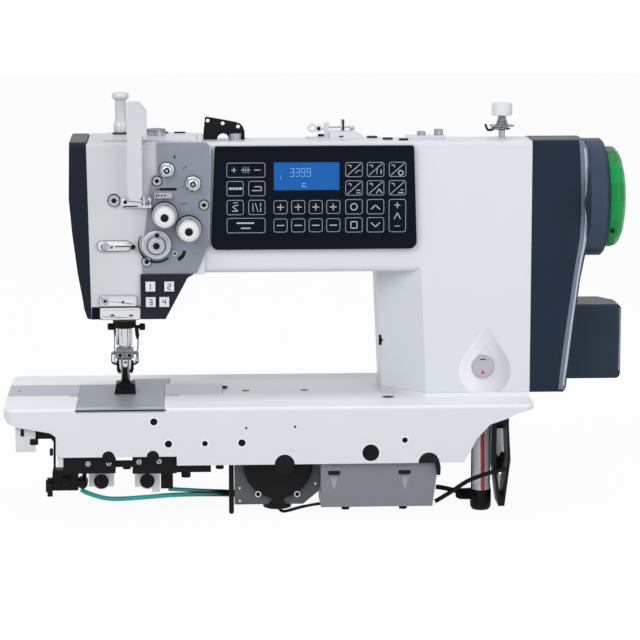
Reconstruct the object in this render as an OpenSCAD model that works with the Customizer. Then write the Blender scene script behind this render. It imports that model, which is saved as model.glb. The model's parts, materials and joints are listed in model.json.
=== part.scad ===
// Double-needle industrial sewing machine head, direct drive. Millimetres.
// Origin: where the needle pair meets the top of the bed. +X right along the bed,
// +Y away from the operator, +Z up.

/* [Bed] */
// Length of the bed plate
bed_l = 517; // [505:1:530]
// Bed top, front edge to needle line
bed_front = 90; // [86:1:94]
// Bed top, needle line to rear edge
bed_back = 88; // [84:1:96]
// Depth of the left part of the apron
apron_l = 48; // [46:1:52]
// Depth of the right part of the apron
apron_r = 57; // [54:1:60]
// Height of the pad the pillar stands on
pad_h = 4; // [3:0.5:4]

/* [Arm] */
// Height of the arm underside above the bed
arm_z0 = 125; // [120:1:127]
// Height of the arm top
arm_z1 = 253.5; // [252.5:0.5:254]
// Height of the head top
head_z1 = 254.3; // [254:0.1:255.5]
// Arm front plane, distance in front of the shaft
arm_f = 46; // [45:0.5:47]
// Arm rear plane, distance behind the shaft
arm_b = 50; // [48:1:54]
// Casting wall
wall = 7; // [6:0.5:7.5]

/* [Drive] */
// Main shaft height above the bed
shaft_z = 193; // [192:0.5:194]
// Main shaft radius
shaft_r = 7.5; // [7:0.1:8]
// Needle stroke
stroke = 33.4; // [30:0.1:34]
// Lower shaft distance behind the needle line
low_y = 22; // [21.9:0.1:23]
// Lower shaft depth below the bed top
low_z = 38; // [37.5:0.1:38.5]
// Lower shaft radius
low_r = 5; // [4.5:0.1:5.5]
// Handwheel radius
wheel_r = 50.4; // [46:0.2:52]
// Motor housing radius
ring_r = 58.4; // [56:0.2:59]

/* [Stitching] */
// Spacing of the two needles
gauge = 6.4; // [4.8:0.1:6.8]
// Hook radius
hook_r = 19; // [17:0.1:19]
// How far the needle bar stands below its highest point at rest
rest_drop = 7.4; // [6.5:0.1:8]
// Needle bar radius
bar_r = 4; // [3.6:0.1:4.2]
// Presser bar radius
press_r = 4.5; // [4:0.1:4.6]
// Presser bar distance behind the needle bar
press_y = 24; // [24:0.5:26]

/* [Fits] */
// Running clearance on radius
run = 0.04; // [0.02:0.01:0.08]
// Assembly clearance of fixed parts on radius
fit = 0.02; // [0.01:0.01:0.05]

/* [Hidden] */
$fn = 48;
bed_x0 = -116.5;
bed_x1 = bed_x0 + bed_l;
hook_x = gauge / 2 + 1.4 + hook_r;
press_x = -2;
head_x0 = -31;
head_f = arm_f + 4;
pillar_x1 = bed_x1;
cover_x1 = pillar_x1 + 54.5;
post_x = bed_x1 - 25.5;
belt_x = 300;
belt_w = 14;
pulley_r = 18;
motor_r = 42;
face_y = -head_f;
plate_y = face_y - 2;
crank_r = stroke / 2;
crank_a = acos((crank_r - rest_drop) / crank_r);
pin_y = -crank_r * sin(crank_a);
pin_z = shaft_z + crank_r * cos(crank_a);
stud_z = 160;
hinge_r = 5;
hinge_depth = 22;
hinge_z = -10;
fix_r = 4.2;
white = [0.86, 0.87, 0.9];
navy = [0.13, 0.19, 0.26];
steel = [0.62, 0.64, 0.67];
black = [0.06, 0.06, 0.07];

// ---- helpers ----
module box(a, b) {
  translate(a) cube(b - a);
}
module xcyl(x0, x1, r, y = 0, z = 0) {
  translate([x0, y, z]) rotate([0, 90, 0]) cylinder(h = x1 - x0, r = r);
}
module ycyl(y0, y1, r, x = 0, z = 0) {
  translate([x, y1, z]) rotate([90, 0, 0]) cylinder(h = y1 - y0, r = r);
}
module zcyl(z0, z1, r, x = 0, y = 0) {
  translate([x, y, z0]) cylinder(h = z1 - z0, r = r);
}
// 2D rounded rectangle between two corners
module rrect(x0, y0, x1, y1, r) {
  translate([x0 + r, y0]) square([x1 - x0 - 2 * r, y1 - y0]);
  translate([x0, y0 + r]) square([x1 - x0, y1 - y0 - 2 * r]);
  for (x = [x0 + r, x1 - r], y = [y0 + r, y1 - r]) translate([x, y]) circle(r);
}
// extrude a front-view shape (X, Z) from y0 to y1
module front(y0, y1) {
  translate([0, y1, 0]) rotate([90, 0, 0]) linear_extrude(y1 - y0) children();
}
// extrude a side-view shape (Y, Z) from x0 to x1
module side(x0, x1) {
  translate([x0, 0, 0]) rotate([90, 0, 90]) linear_extrude(x1 - x0) children();
}
// round bar with flat ends from p to q
module rod(p, q, r) {
  d = q - p;
  l = norm(d);
  translate(p) rotate([0, acos(d[2] / l), atan2(d[1], d[0])]) cylinder(h = l, r = r);
}
// smooth curve through a list of points (Catmull-Rom), k steps a span
function curve(p, k) = [
  for (i = [0 : len(p) - 2], t = [0 : 1 / k : 1 - 0.5 / k])
    let (a = p[max(i - 1, 0)], b = p[i], c = p[i + 1], d = p[min(i + 2, len(p) - 1)])
      0.5 * (2 * b + (c - a) * t + (2 * a - 5 * b + 4 * c - d) * t * t
             + (3 * b - 3 * c + d - a) * t * t * t),
  p[len(p) - 1]
];
// hose or cable swept along a smooth curve; n sides
module cable(pts, r, n = 12, k = 4) {
  c = curve(pts, k);
  m = len(c) - 1;
  ring = [
    for (i = [0 : m])
      let (d = c[min(i + 1, m)] - c[max(i - 1, 0)], t = d / norm(d),
           u = cross(t, [0, 1, 0]), a = u / norm(u), b = cross(t, a))
        for (j = [0 : n - 1]) c[i] + r * (cos(360 * j / n) * a + sin(360 * j / n) * b)
  ];
  sides = [
    for (i = [0 : m - 1], j = [0 : n - 1])
      [i * n + j, (i + 1) * n + j, (i + 1) * n + (j + 1) % n, i * n + (j + 1) % n]
  ];
  polyhedron(ring, concat([[for (j = [0 : n - 1]) j]], sides,
                          [[for (j = [n - 1 : -1 : 0]) m * n + j]]));
}
// slotted screw head facing the operator
module face_screw(x, z, y, r, h = 2) {
  difference() {
    ycyl(y - h, y, r, x, z);
    box([x - r - 1, y - h - 1, z - 0.5], [x + r + 1, y - h + 0.8, z + 0.5]);
  }
}
// slotted screw head facing up
module top_screw(x, y, z, r, h = 1.6) {
  difference() {
    zcyl(z, z + h, r, x, y);
    box([x - r - 1, y - 0.5, z + h - 0.7], [x + r + 1, y + 0.5, z + h + 1]);
  }
}

// ---- bed ----
module bed_profile() {
  polygon([
    [bed_x0 + 1, 0], [bed_x0, -1.5], [bed_x0 + 0.5, -9], [bed_x0 + 4.5, -14.7],
    [bed_x0 + 13, -17.6], [-71.5, -23.7], [-66, -27.5], [-65.5, -apron_l + 2],
    [-62, -apron_l], [51, -apron_l], [51, -apron_r], [bed_x1 - 69.5, -apron_r], [bed_x1 - 62.2, -44.7],
    [bed_x1 - 57.1, -34], [bed_x1 - 43.7, -19.6], [bed_x1 - 26.5, -13.7],
    [bed_x1 - 14.9, -8], [bed_x1 - 0.5, -5], [bed_x1, -1.5], [bed_x1 - 1, 0]
  ]);
}
module bed_shell() {
  difference() {
    union() {
      intersection() {
        front(-bed_front, bed_back) bed_profile();
        translate([0, 0, -80]) linear_extrude(80)
          rrect(bed_x0, -bed_front, bed_x1, bed_back, 12);
      }
      // pad under the pillar
      translate([0, 0, -1]) linear_extrude(pad_h + 1)
        polygon([[297.6, -arm_f - 1], [bed_x1 - 1, -arm_f - 1], [bed_x1 - 1, arm_b + 1],
                 [255.3, arm_b + 1], [255.3, -6.7]]);
    }
    // main cavity and the wing cavities
    box([-58, -bed_front + 8, -80], [323, bed_back - 8, -12]);
    box([-108, -bed_front + 8, -40], [-70, bed_back - 8, -9]);
    box([bed_x1 - 60.5, -bed_front + 8, -60], [bed_x1 - 12.5, bed_back - 8, -5]);
    // seats of the needle plate and of the slide plates
    box([-46, -bed_front - 1, -4 - fit], [39.3, 37.4, 1]);
    box([-118, -21.4, -2.4 - fit], [97.4, 37.4, 1]);
    box([6.6, 37, -4 - fit], [44.4, 67.4, 1]);
    // well for the hooks
    box([-54, -26, -20], [54, 34, 1]);
    box([-92, -15, -20], [-54, 31, 1]);
    box([54, -15, -20], [88, 31, 1]);
    // feed bar channel
    box([-8, 30, -14.2], [8, bed_back - 20, -3]);
    // belt passage
    box([belt_x - 4, -6, -80], [belt_x + belt_w + 6, 45, 20]);
    // guide fixing holes
    for (x = [120.3, 120.3 + 58.7]) zcyl(-20, 2, fix_r, x, -3);
    zcyl(-6, 2, 6.1, 260.3, -43);
    // front holes
    for (p = [[29, -13.5, 3.6], [43, -35.6, 3.6], [78.4, -35.5, 2.8], [114.3, -35.2, 3.6],
              [118.6, -20.6, 1.2], [166, -19.7, 1.2], [273.2, -34.2, 2.8]])
      ycyl(-bed_front - 1, -bed_front + 12, p[2], p[0], p[1]);
    ycyl(-bed_front - 1, -bed_front + 5, 8.2, 239.9, -46.3);
    // notches along the lower front edge
    ycyl(-bed_front - 1, -bed_front + 9, 6, -15.3, -apron_l);
    ycyl(-bed_front - 1, -bed_front + 9, 6, 27.8, -apron_l);
    ycyl(-bed_front - 1, -bed_front + 9, 9.7, 155.9, -apron_r);
    ycyl(-bed_front - 1, -bed_front + 9, 10.3, 296.9, -apron_r);
    // hinge sockets
    for (x = [-20, 270])
      ycyl(bed_back - hinge_depth, bed_back + 1, hinge_r, x, hinge_z);
    // lower shaft passages
    xcyl(-50.01, 330, 8 + fit, low_y, -low_z);
  }
}
// the deck between the side walls, without the rear flange
module deck_zone(g = 0) {
  box([-100 - g, -bed_front + 12 - g, -14 - g], [bed_x1 + 2, bed_back - 30 + g, pad_h + 6]);
}
module bed() color(white) {
  intersection() {
    bed_shell();
    deck_zone();
  }
  // bearing blocks of the lower shaft and of the hooks
  difference() {
    union() {
      box([-57.9, low_y - 11, -48], [-46, low_y + 11, -11.99]);
      box([60, low_y - 11, -49], [74, low_y + 11, -11.99]);
      box([274, low_y - 11, -49], [288, low_y + 11, -11.99]);
      for (s = [-1, 1]) {
        box([s * hook_x - 9, -34, -54], [s * hook_x + 9, 8, -47]);
        box([s * hook_x - 9, -34, -54], [s * hook_x + 9, -27, -11.99]);
      }
    }
    xcyl(-60, 330, 8 + fit, low_y, -low_z);
    for (s = [-1, 1]) zcyl(-60, -40, 4 + run, s * hook_x, 0);
  }
}
// side walls, end walls and rear flange with the hinge sockets
module bed_skirt() color(white) difference() {
  union() {
    bed_shell();
    for (x = [-20, 270]) ycyl(bed_back - hinge_depth - 5, bed_back - 7.99, 9, x, hinge_z - 1);
  }
  deck_zone(fit);
  for (x = [-20, 270]) ycyl(bed_back - hinge_depth, bed_back + 1, hinge_r, x, hinge_z);
}

// ---- arm casting: head, arm and pillar ----
// position (X, Y) and radius of the plugs in the arm top
top_plugs = [[246.3, -4, 5.4], [260.4, -22, 5.1], [275.3, -31, 4.7]];
head_pts = [
  [head_x0 - 3.2, head_z1 - 2], [head_x0, 81], [40.6, 81], [63.4, 123], [67, arm_z0],
  [80, arm_z0], [80, head_z1 - 2], [78, head_z1], [head_x0 - 1.2, head_z1]
];
// cross-section of the arm; the top falls away behind the shaft line
module arm_section(z0, z1, r_low) {
  difference() {
    union() {
      rrect(-arm_f, z0, arm_b, z1 - 20, r_low);
      rrect(-arm_f, z0 + 20, arm_b, z1, 4);
    }
    polygon([[0, z1], [0, z1 + 1], [arm_b + 1, z1 + 1], [arm_b + 1, z1 - 6.4]]);
  }
}
module pillar_body() {
  difference() {
    translate([0, 0, pad_h + fit]) linear_extrude(arm_z1 - pad_h - 12)
      polygon([[288, -arm_f], [pillar_x1, -arm_f], [pillar_x1, arm_b], [250, arm_b], [250, -8]]);
    // both faces on the left lean in towards the bed
    translate([292, -arm_f, arm_z0]) rotate([0, 0, 135.7]) rotate([-1.8, 0, 0])
      box([-60, 0, -200], [140, 60, 4]);
    translate([250.7, 0, arm_z0]) rotate([0, -2.6, 0]) box([-40, -60, -200], [0, 60, 4]);
  }
}
module arm() color(white) {
  difference() {
    union() {
      // head block
      intersection() {
        front(-head_f, arm_b) polygon(head_pts);
        side(head_x0 - 5, 80) rrect(-head_f, 60, arm_b, head_z1, 4);
      }
      // arm beam
      side(79, pillar_x1) arm_section(arm_z0, arm_z1, 8);
      pillar_body();
      // raised boss under the thread eyelets
      front(-9, 9) polygon([
        [204, arm_z1 - 3], [204, arm_z1 + 5], [205.3, arm_z1 + 6.3], [227, arm_z1 + 6.3],
        [232, arm_z1 + 4.6], [238.5, arm_z1 + 1], [241, arm_z1 - 3]
      ]);
    }
    // hollow head, open towards the face cover
    side(head_x0 - 6, 52) rrect(-head_f + wall + 1, 90, arm_b - wall, head_z1 - wall, 5);
    // hollow arm and pillar
    side(68, 232) rrect(-arm_f + wall, arm_z0 + wall, arm_b - wall, arm_z1 - wall, 5);
    side(246, bed_x1 - 12.5) rrect(-arm_f + wall, arm_z0 + wall, arm_b - wall, arm_z1 - wall, 5);
    translate([0, 0, pad_h - 1]) linear_extrude(arm_z1 - wall - 10)
      polygon([[304, -arm_f + wall + 1], [bed_x1 - 12.5, -arm_f + wall + 1], [bed_x1 - 12.5, arm_b - wall],
               [264, arm_b - wall], [264, 16]]);
    // shaft bearings
    xcyl(50, bed_x1 - 10.5, 13 + fit, 0, shaft_z);
    xcyl(bed_x1 - 13.5, pillar_x1 + 1, 16 + fit, 0, shaft_z);
    // take-up slot through the front wall and the top wall
    box([8.6, -head_f - 1, 203], [19.4, -head_f + wall + 2, head_z1 + 1]);
    box([8.6, -head_f - 1, 235], [19.4, -5, head_z1 + 1]);
    // take-up pivot
    xcyl(51, 69, 5 + run, -5, 234);
    // bores for the needle bar bush and the presser bar bush
    zcyl(79, 91, 8 + fit, 0, 0);
    zcyl(79, 91, 7 + fit, press_x, press_y);
    zcyl(head_z1 - wall - 1, head_z1 + 2, 8 + fit, press_x, press_y);
    // lifter shaft through the rear wall
    ycyl(40, arm_b + 1, 5 + run, -14, 150);
    // teardrop recess of the oil window
    front(-arm_f - 1, -arm_f + 3) teardrop(0);
    ycyl(-arm_f - 1, -arm_f + wall + 2, 11.4 + fit, bed_x1 - 46.5, 29.6);
    // arm top holes
    zcyl(arm_z1 - 8, arm_z1 + 1, 4.8, 98.5, -23);
    for (p = top_plugs) zcyl(arm_z1 - 8, arm_z1 + 1, p[2] + fit, p[0], p[1]);
    zcyl(arm_z1 - 8, arm_z1 + 1, 3.2 + fit, post_x, -5);
    // dark socket low on the slanted side
    ycyl(-16, 30, 1.6, 256, 51);
  }
}
module teardrop(grow) {
  translate([bed_x1 - 44.5, 26]) circle(25 + grow);
  polygon([[bed_x1 - 43, 72 + grow], [bed_x1 - 23 + grow, 39], [bed_x1 - 66 - grow, 39]]);
}
module face_cover() color(navy) difference() {
  intersection() {
    front(-head_f, arm_b) polygon([
      [-50.5, head_z1 + 2], [-51.6, 199], [-48.6, 164.4], [-43.7, 125], [-39.3, 100.5],
      [-38.1, 91.6], [-35, 82], [head_x0 - fit, 81], [head_x0 - 3.2 - fit, head_z1 - 2],
      [head_x0 - 3.2 - fit, head_z1 + 2]
    ]);
    side(-60, head_x0 - fit) rrect(-head_f, 60, arm_b, head_z1, 4);
  }
  intersection() {
    front(-head_f + 3, arm_b - 3) polygon([
      [-47.5, head_z1], [-48.6, 199], [-45.6, 164.4], [-40.7, 125], [-36.3, 100.5],
      [-35, 88], [head_x0 + 1, 88], [head_x0 + 1, head_z1]
    ]);
    side(-60, head_x0 + 1) rrect(-head_f + 3, 84, arm_b - 3, head_z1 - 2, 6);
  }
}
module top_cover() color(white) {
  head_lid();
  // raised lid over the pillar
  box([280, -14, arm_z1 + fit], [318, 0, arm_z1 + 2.4]);
}
module head_lid() difference() {
  front(-40, 38) polygon([
    [-17.5, head_z1 + fit], [-17.5, head_z1 + 1], [-17, head_z1 + 1.5],
    [66.6, head_z1 + 1.5], [74, head_z1 + fit]
  ]);
  box([7.6, -41, head_z1 - 1], [20.4, -5, head_z1 + 5]);
  zcyl(head_z1 - 1, head_z1 + 5, 8.4, press_x, press_y);
}
// outer edge of the end cover, moved in by g
function cover_edge(g) = [
  for (p = [[53.5, 205], [54.2, 152], [53.7, 142], [48.7, 116], [43.8, 76], [39.3, 36], [36, 8]])
    [bed_x1 + p[0] - g, p[1]]
];
module end_cover() color(navy) difference() {
  intersection() {
    front(-arm_f, arm_b) polygon(concat(
      [[pillar_x1 + fit, arm_z1 + 0.7], [bed_x1 + 50, arm_z1 + 0.7], [bed_x1 + 52.4, arm_z1 - 0.6]],
      cover_edge(0), [[bed_x1 + 33.5, pad_h], [pillar_x1 + fit, pad_h]]));
    side(pillar_x1, cover_x1 + 5) arm_section(-10, arm_z1 + 0.7, 8);
  }
  // inside of the shell, open towards the pillar
  intersection() {
    front(-arm_f + 3, arm_b - 3) polygon(concat(
      [[pillar_x1 - 1, arm_z1 - 2.3], [bed_x1 + 49.5, arm_z1 - 2.3]],
      cover_edge(3), [[bed_x1 + 32, pad_h + 3], [pillar_x1 - 1, pad_h + 3]]));
    side(pillar_x1 - 1, cover_x1 + 5) difference() {
      rrect(-arm_f + 3, pad_h + 3, arm_b - 3, arm_z1 - 2.3, 5);
      polygon([[0, arm_z1 - 3], [0, arm_z1], [arm_b + 1, arm_z1], [arm_b + 1, arm_z1 - 9.4]]);
    }
  }
  xcyl(bed_x1 + 29.5, bed_x1 + 69.5, motor_r + 1, 0, shaft_z);
}

// ---- operating panel ----
panel_f = arm_f + 6;
module panel_outline() {
  polygon([
    [91, 250], [90, 248], [86, 156], [92.5, 149], [280.5, 149], [287, 155], [284, 248],
    [283, 250]
  ]);
  translate([93.4, 156.4]) circle(7.4);
  translate([279.6, 156.4]) circle(7.4);
}
module key(x0, z0, x1, z1) {
  front(-panel_f - 0.4, -panel_f + 0.1) rrect(x0, z0, x1, z1, 3);
}
module panel() color([0.06, 0.11, 0.16]) {
  difference() {
    front(-panel_f, -arm_f - fit) panel_outline();
    box([147.1, -panel_f - 1, 206.9], [211.5, -panel_f + 1.4, 234.5]);
    box([100, -panel_f + 3, 158], [270, -arm_f + 1, 240]);
  }
  key(101.5, 219.8, 139, 234.2);
  for (x = [101.5, 122.6], z = [201.7, 183.3]) key(x, z, x + 16.4, z + 14.6);
  key(101.5, 165.5, 139, 180.2);
  for (x = [147.1, 164.3, 181.4, 198.5], z = [166, 183.9]) key(x, z, x + 13.4, z + 13.4);
  for (x = [217, 238, 259.4]) key(x, 219.8, x + 16.8, 234.2);
  for (x = [217, 238], z = [201.7, 183.3, 165.5]) key(x, z, x + 16.8, z + 14.6);
  key(259.4, 201.7, 276.2, 216.3);
  key(259.4, 165.5, 276.2, 197.9);
}
module display() color([0.12, 0.42, 0.75]) {
  box([147.4, -panel_f + 0.2, 207.2], [211.2, -panel_f + 1.4 - fit, 234.2]);
}

// ---- thread tension group on the head ----
module tension_plate() color([0.6, 0.62, 0.66]) difference() {
  union() {
    front(plate_y, face_y - fit) polygon([
      [34.2, 221], [34.2, 254.8], [80, 254.8], [83.4, 253.4], [85.6, 250.6], [86.6, 246],
      [84.6, 157], [82.6, 151.5], [71.5, 126.5], [19, 126.5], [18.6, 143], [27.5, 212]
    ]);
    ycyl(plate_y + 0.1, face_y - 0.1, 5, 34.3, 217);
    ycyl(plate_y + 0.1, face_y - 0.1, 5.1, 23.3, 138);
  }
  box([36.5, plate_y - 1, 207.3], [53.1, face_y + 1, 210]);
  box([32.4, plate_y - 1, 208.3], [36.6, face_y + 1, 209.1]);
  for (p = [[34, 217], [23.3, 138], [79.4, 193.3], [50.7, 146.1]])
    ycyl(plate_y - 1, face_y + 1, 2, p[0], p[1]);
  for (p = [tens[0], tens[1], disc_c])
    ycyl(plate_y - 1, face_y + 1, 3 + fit, p[0], p[1]);
}
tens = [[41.2, 184.6], [64.5, 171]];
disc_c = [33, 155];
module tension_posts() color(steel) {
  for (p = tens) {
    ycyl(-84, plate_y + 2, 3, p[0], p[1]);
    ycyl(-58, plate_y - fit, 7, p[0], p[1]);
    for (y = [-60, -61.6]) rotate_disc(p, y, 12.2);
  }
  ycyl(-64, plate_y + 2, 3, disc_c[0], disc_c[1]);
  // pre-tension guides with domed heads
  for (p = [[43.6, 227.7], [68.9, 214.4]]) {
    ycyl(-60, plate_y - fit, 2.6, p[0], p[1]);
    for (y = [-54, -55.6]) rotate_disc(p, y, 6.8);
    ycyl(-62, -58, 5.6, p[0], p[1]);
  }
  // eyelet block
  box([31.4, -56, 200.2], [48.6, plate_y - fit, 205.8]);
  // winder tension post
  zcyl(arm_z1 - 6, 278, 2.5, post_x, -5);
  zcyl(arm_z1 - 6, 262.5, 3.2, post_x, -5);
  zcyl(264.3, 265, 12.2, post_x, -5);
  zcyl(262.4, 263.2, 8.4, post_x - 2, -5);
  front(-7.4, -4.6) translate([post_x, 0]) polygon([
    [-8, 263.1], [-10.6, 262.9], [-13.6, 261.2], [-15.8, 266.6], [-17.4, 266.2], [-14.4, 259.4],
    [-10, 261.9], [-8, 262.5]
  ]);
}
// thin dished disc on a post facing the operator
module rotate_disc(p, y, r) {
  ycyl(y - 0.7, y, r, p[0], p[1]);
}
// white thumb nut with fluted rim
module thumb_nut(p) {
  difference() {
    union() {
      ycyl(-83, -69, 10.9, p[0], p[1]);
      ycyl(-85, -83, 9.6, p[0], p[1]);
    }
    ycyl(-90, -60, 3 + run, p[0], p[1]);
    for (i = [0 : 11])
      ycyl(-81, -68, 1.1, p[0] + 11.4 * cos(30 * i), p[1] + 11.4 * sin(30 * i), $fn = 16);
  }
}
module tension_nut_left() color(white) thumb_nut(tens[0]);
module tension_nut_right() color(white) thumb_nut(tens[1]);
module thread_disc() color(steel) difference() {
  union() {
    for (p = [[-57, -55.6, 13.8], [-55.6, -53, 10], [-61, -57, 12.4], [-66, -61, 7]])
      ycyl(p[0], p[1], p[2], disc_c[0], disc_c[1]);
  }
  ycyl(-70, -50, 3 + run, disc_c[0], disc_c[1]);
  ycyl(-62, -58.6, 2.2, disc_c[0] + 0.6, disc_c[1] + 10);
}
module springs() color(steel) {
  for (p = tens) for (k = [0 : 3])
    translate([p[0], -63 - 1.4 * k, p[1]]) rotate([90, 0, 0])
      rotate_extrude() translate([5 + 0.6 * k, 0]) circle(0.6, $fn = 12);
  for (k = [0 : 4])
    translate([post_x, -5, 265.9 + 1.9 * k])
      rotate_extrude() translate([6 - 0.6 * k, 0]) circle(0.6, $fn = 12);
  for (k = [0 : 16])
    translate([press_x, press_y, 181 + 3.4 * k])
      rotate_extrude() translate([6, 0]) circle(0.9, $fn = 12);
}
module winder_cap() color(white) difference() {
  union() {
    zcyl(275.3, 286.3, 10.3, post_x, -5);
    zcyl(286.3, 287.8, 9.2, post_x, -5);
  }
  zcyl(270, 279, 2.5 + run, post_x, -5);
  for (i = [0 : 11])
    zcyl(274, 285, 1.1, post_x + 10.9 * cos(30 * i), -5 + 10.9 * sin(30 * i), $fn = 16);
}

// ---- thread guides ----
module thread_guides() color(steel) {
  // upper guide under the take-up slot
  box([-1, -52.5, 191.6], [19.4, face_y - fit, 199]);
  difference() {
    box([19, -60, 191.8], [28.6, -52.04, 194]);
    zcyl(190, 196, 2.4, 25, -56);
  }
  box([20.4, -60, 191.8], [22, -51, 203]);
  // middle guide
  front(-52, face_y - fit) rrect(-25, 148.2, 8.8, 159, 5.2);
  // eyelets over the arm: foot, block, cross rod, post and ring
  box([180, -8, arm_z1 + fit], [203.7, -0.4, arm_z1 + 1.5]);
  box([198.4, -3.4, arm_z1 + 1.4], [203.6, -0.5, 268.6]);
  xcyl(203.5, 225, 1.8, -2, 264.4);
  xcyl(224, 229, 3.2, -2, 264);
  zcyl(arm_z1 + 6.3 + fit, 272, 2, 217.3, -2);
  xcyl(190, 198.5, 1.3, -2, 262.8);
  ycyl(-6, 0, 3.6, 193.4, 262.8);
  difference() {
    ycyl(-3, -0.8, 4.5, 187.1, 263.1);
    ycyl(-4, 0, 2.3, 187.1, 263.1);
  }
}
module fin_guide() color(black) difference() {
  union() {
    front(-18, -16) polygon([
      [79.7, arm_z1 + fit], [79.2, 256], [81.2, 275.2], [82.6, 276.1], [98, 273.4], [111.3, 270.8],
      [115.6, 269.2], [118.2, 266.4], [120, 261.8], [120.2, arm_z1 + fit]
    ]);
    box([80.4, -18, arm_z1 + fit], [86, -6, arm_z1 + 1.6]);
    box([112, -18, arm_z1 + fit], [120.2, -6, arm_z1 + 1.6]);
  }
  ycyl(-19, -15, 5.6, 98.8, arm_z1 + 0.4);
  for (p = [[83.9, 272.2], [98.6, 269.5], [113.6, 266.2]])
    ycyl(-19, -15, 1.8, p[0], p[1], $fn = 24);
}
module take_up_guard() color(white) difference() {
  union() {
    front(-70.5, face_y - fit) {
      polygon([[5.5, 204], [5.5, 258], [20, 258], [20, 204], [16, 199.8], [9.5, 199.8]]);
    }
    front(-70.5, -36) polygon([
      [5.5, 256.3], [5.5, 293], [17.5, 293], [24.5, 284], [24.5, 264], [20, 262], [20, 256.3]
    ]);
  }
  // hollow for the lever
  side(7, 19) polygon([[-49, 190], [-69, 190], [-69, 286], [-64, 291.4], [-36, 291.4], [-30, 250],
                      [-49, 250]]);
  box([19, -60, 265.6], [23, -35, 282]);
}
module finger_guard() color([0.8, 0.81, 0.84]) {
  // bracket on the head
  difference() {
    union() {
      box([-21.8, -52.5, 94.6], [12.9, face_y - fit, 104]);
      box([-22.1, -51.6, 81], [16, face_y - fit, 93]);
      box([-15.7, -52.6, 84], [-5, -51.5, 91]);
    }
    ycyl(-60, -40, 2.4, -0.2, 98.6);
    for (x = [-10.4, 7.6]) ycyl(-60, -40, 1.8, x, 86);
  }
}
module button_plate() color(black) difference() {
  front(-53, face_y - fit) polygon([[17, 125.4], [69, 125.4], [63, 122], [41.2, 81.4], [17, 81.4]]);
  for (p = btn) box([p[0] - 5.2, -60, p[1] - 5.2], [p[0] + 5.2, -51.5, p[1] + 5.2]);
}
btn = [[26.7, 114], [45, 114], [26.9, 98.7], [40.1, 98.7]];
module push_button(p) {
  box([p[0] - 4.8, -56.5, p[1] - 4.8], [p[0] + 4.8, -53.2, p[1] + 4.8]);
}
module button_1() color([0.78, 0.8, 0.83]) push_button(btn[0]);
module button_2() color([0.78, 0.8, 0.83]) push_button(btn[1]);
module button_3() color([0.78, 0.8, 0.83]) push_button(btn[2]);
module button_4() color([0.78, 0.8, 0.83]) push_button(btn[3]);

// ---- main shaft, motor, handwheel ----
module main_shaft() color(steel) {
  // shaft
  xcyl(29.9, bed_x1 + 89.5, shaft_r, 0, shaft_z);
  // crank with counterweight and pin
  translate([0, 0, shaft_z]) rotate([crank_a, 0, 0]) difference() {
    union() {
      xcyl(18, 30, 24);
      xcyl(11.3, 18.1, 5, 0, crank_r);
    }
    for (s = [-1, 1]) box([17, s * 18 - 7, 6], [31, s * 18 + 7, 26]);
  }
  // upper pulley
  xcyl(belt_x - 0.5, belt_x + belt_w + 0.5, pulley_r, 0, shaft_z);
  xcyl(belt_x - 2, belt_x - 0.4, pulley_r + 3, 0, shaft_z);
  xcyl(belt_x + belt_w + 0.4, belt_x + belt_w + 2, pulley_r + 3, 0, shaft_z);
}
module motor_rotor() color([0.35, 0.36, 0.38]) difference() {
  xcyl(bed_x1 + 9.5, bed_x1 + 45.5, 23.6, 0, shaft_z);
  xcyl(bed_x1 - 0.5, bed_x1 + 49.5, shaft_r + fit, 0, shaft_z);
}
module motor_stator() color([0.7, 0.42, 0.2]) difference() {
  xcyl(bed_x1 + 7.5, bed_x1 + 47.5, motor_r - 3 - fit, 0, shaft_z);
  xcyl(bed_x1 - 0.5, bed_x1 + 49.5, 24.2, 0, shaft_z);
}
module motor_housing() color([0.1, 0.11, 0.13]) difference() {
  union() {
    xcyl(pillar_x1 + fit, bed_x1 + 57.5, motor_r, 0, shaft_z);
    xcyl(bed_x1 + 55.5, bed_x1 + 73, ring_r, 0, shaft_z);
    xcyl(bed_x1 + 73, bed_x1 + 75, ring_r - 2, 0, shaft_z);
  }
  xcyl(bed_x1 + 6.5, bed_x1 + 51.5, motor_r - 3, 0, shaft_z);
  xcyl(bed_x1 - 0.5, bed_x1 + 9.5, 20, 0, shaft_z);
  xcyl(bed_x1 + 49.5, bed_x1 + 79.5, 12, 0, shaft_z);
  xcyl(bed_x1 + 65.5, bed_x1 + 79.5, 47, 0, shaft_z);
}
module handwheel() color([0, 0.55, 0.24]) difference() {
  union() {
    translate([bed_x1, 0, shaft_z]) rotate([0, 90, 0]) rotate_extrude() polygon([
      [0, 77], [wheel_r - 1, 77], [wheel_r, 78], [wheel_r, 85], [wheel_r - 1.6, 88.4],
      [wheel_r - 5, 91.6], [wheel_r - 10.4, 94], [wheel_r - 18.4, 95.8], [0, 95.8]
    ]);
    xcyl(bed_x1 + 69.5, bed_x1 + 77.5, 14, 0, shaft_z);
  }
  xcyl(bed_x1 + 59.5, bed_x1 + 90.5, shaft_r + fit, 0, shaft_z);
  difference() {
    xcyl(bed_x1 + 75.5, bed_x1 + 82.5, wheel_r - 8, 0, shaft_z);
    xcyl(bed_x1 + 74.5, bed_x1 + 83.5, 16, 0, shaft_z);
  }
}
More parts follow.
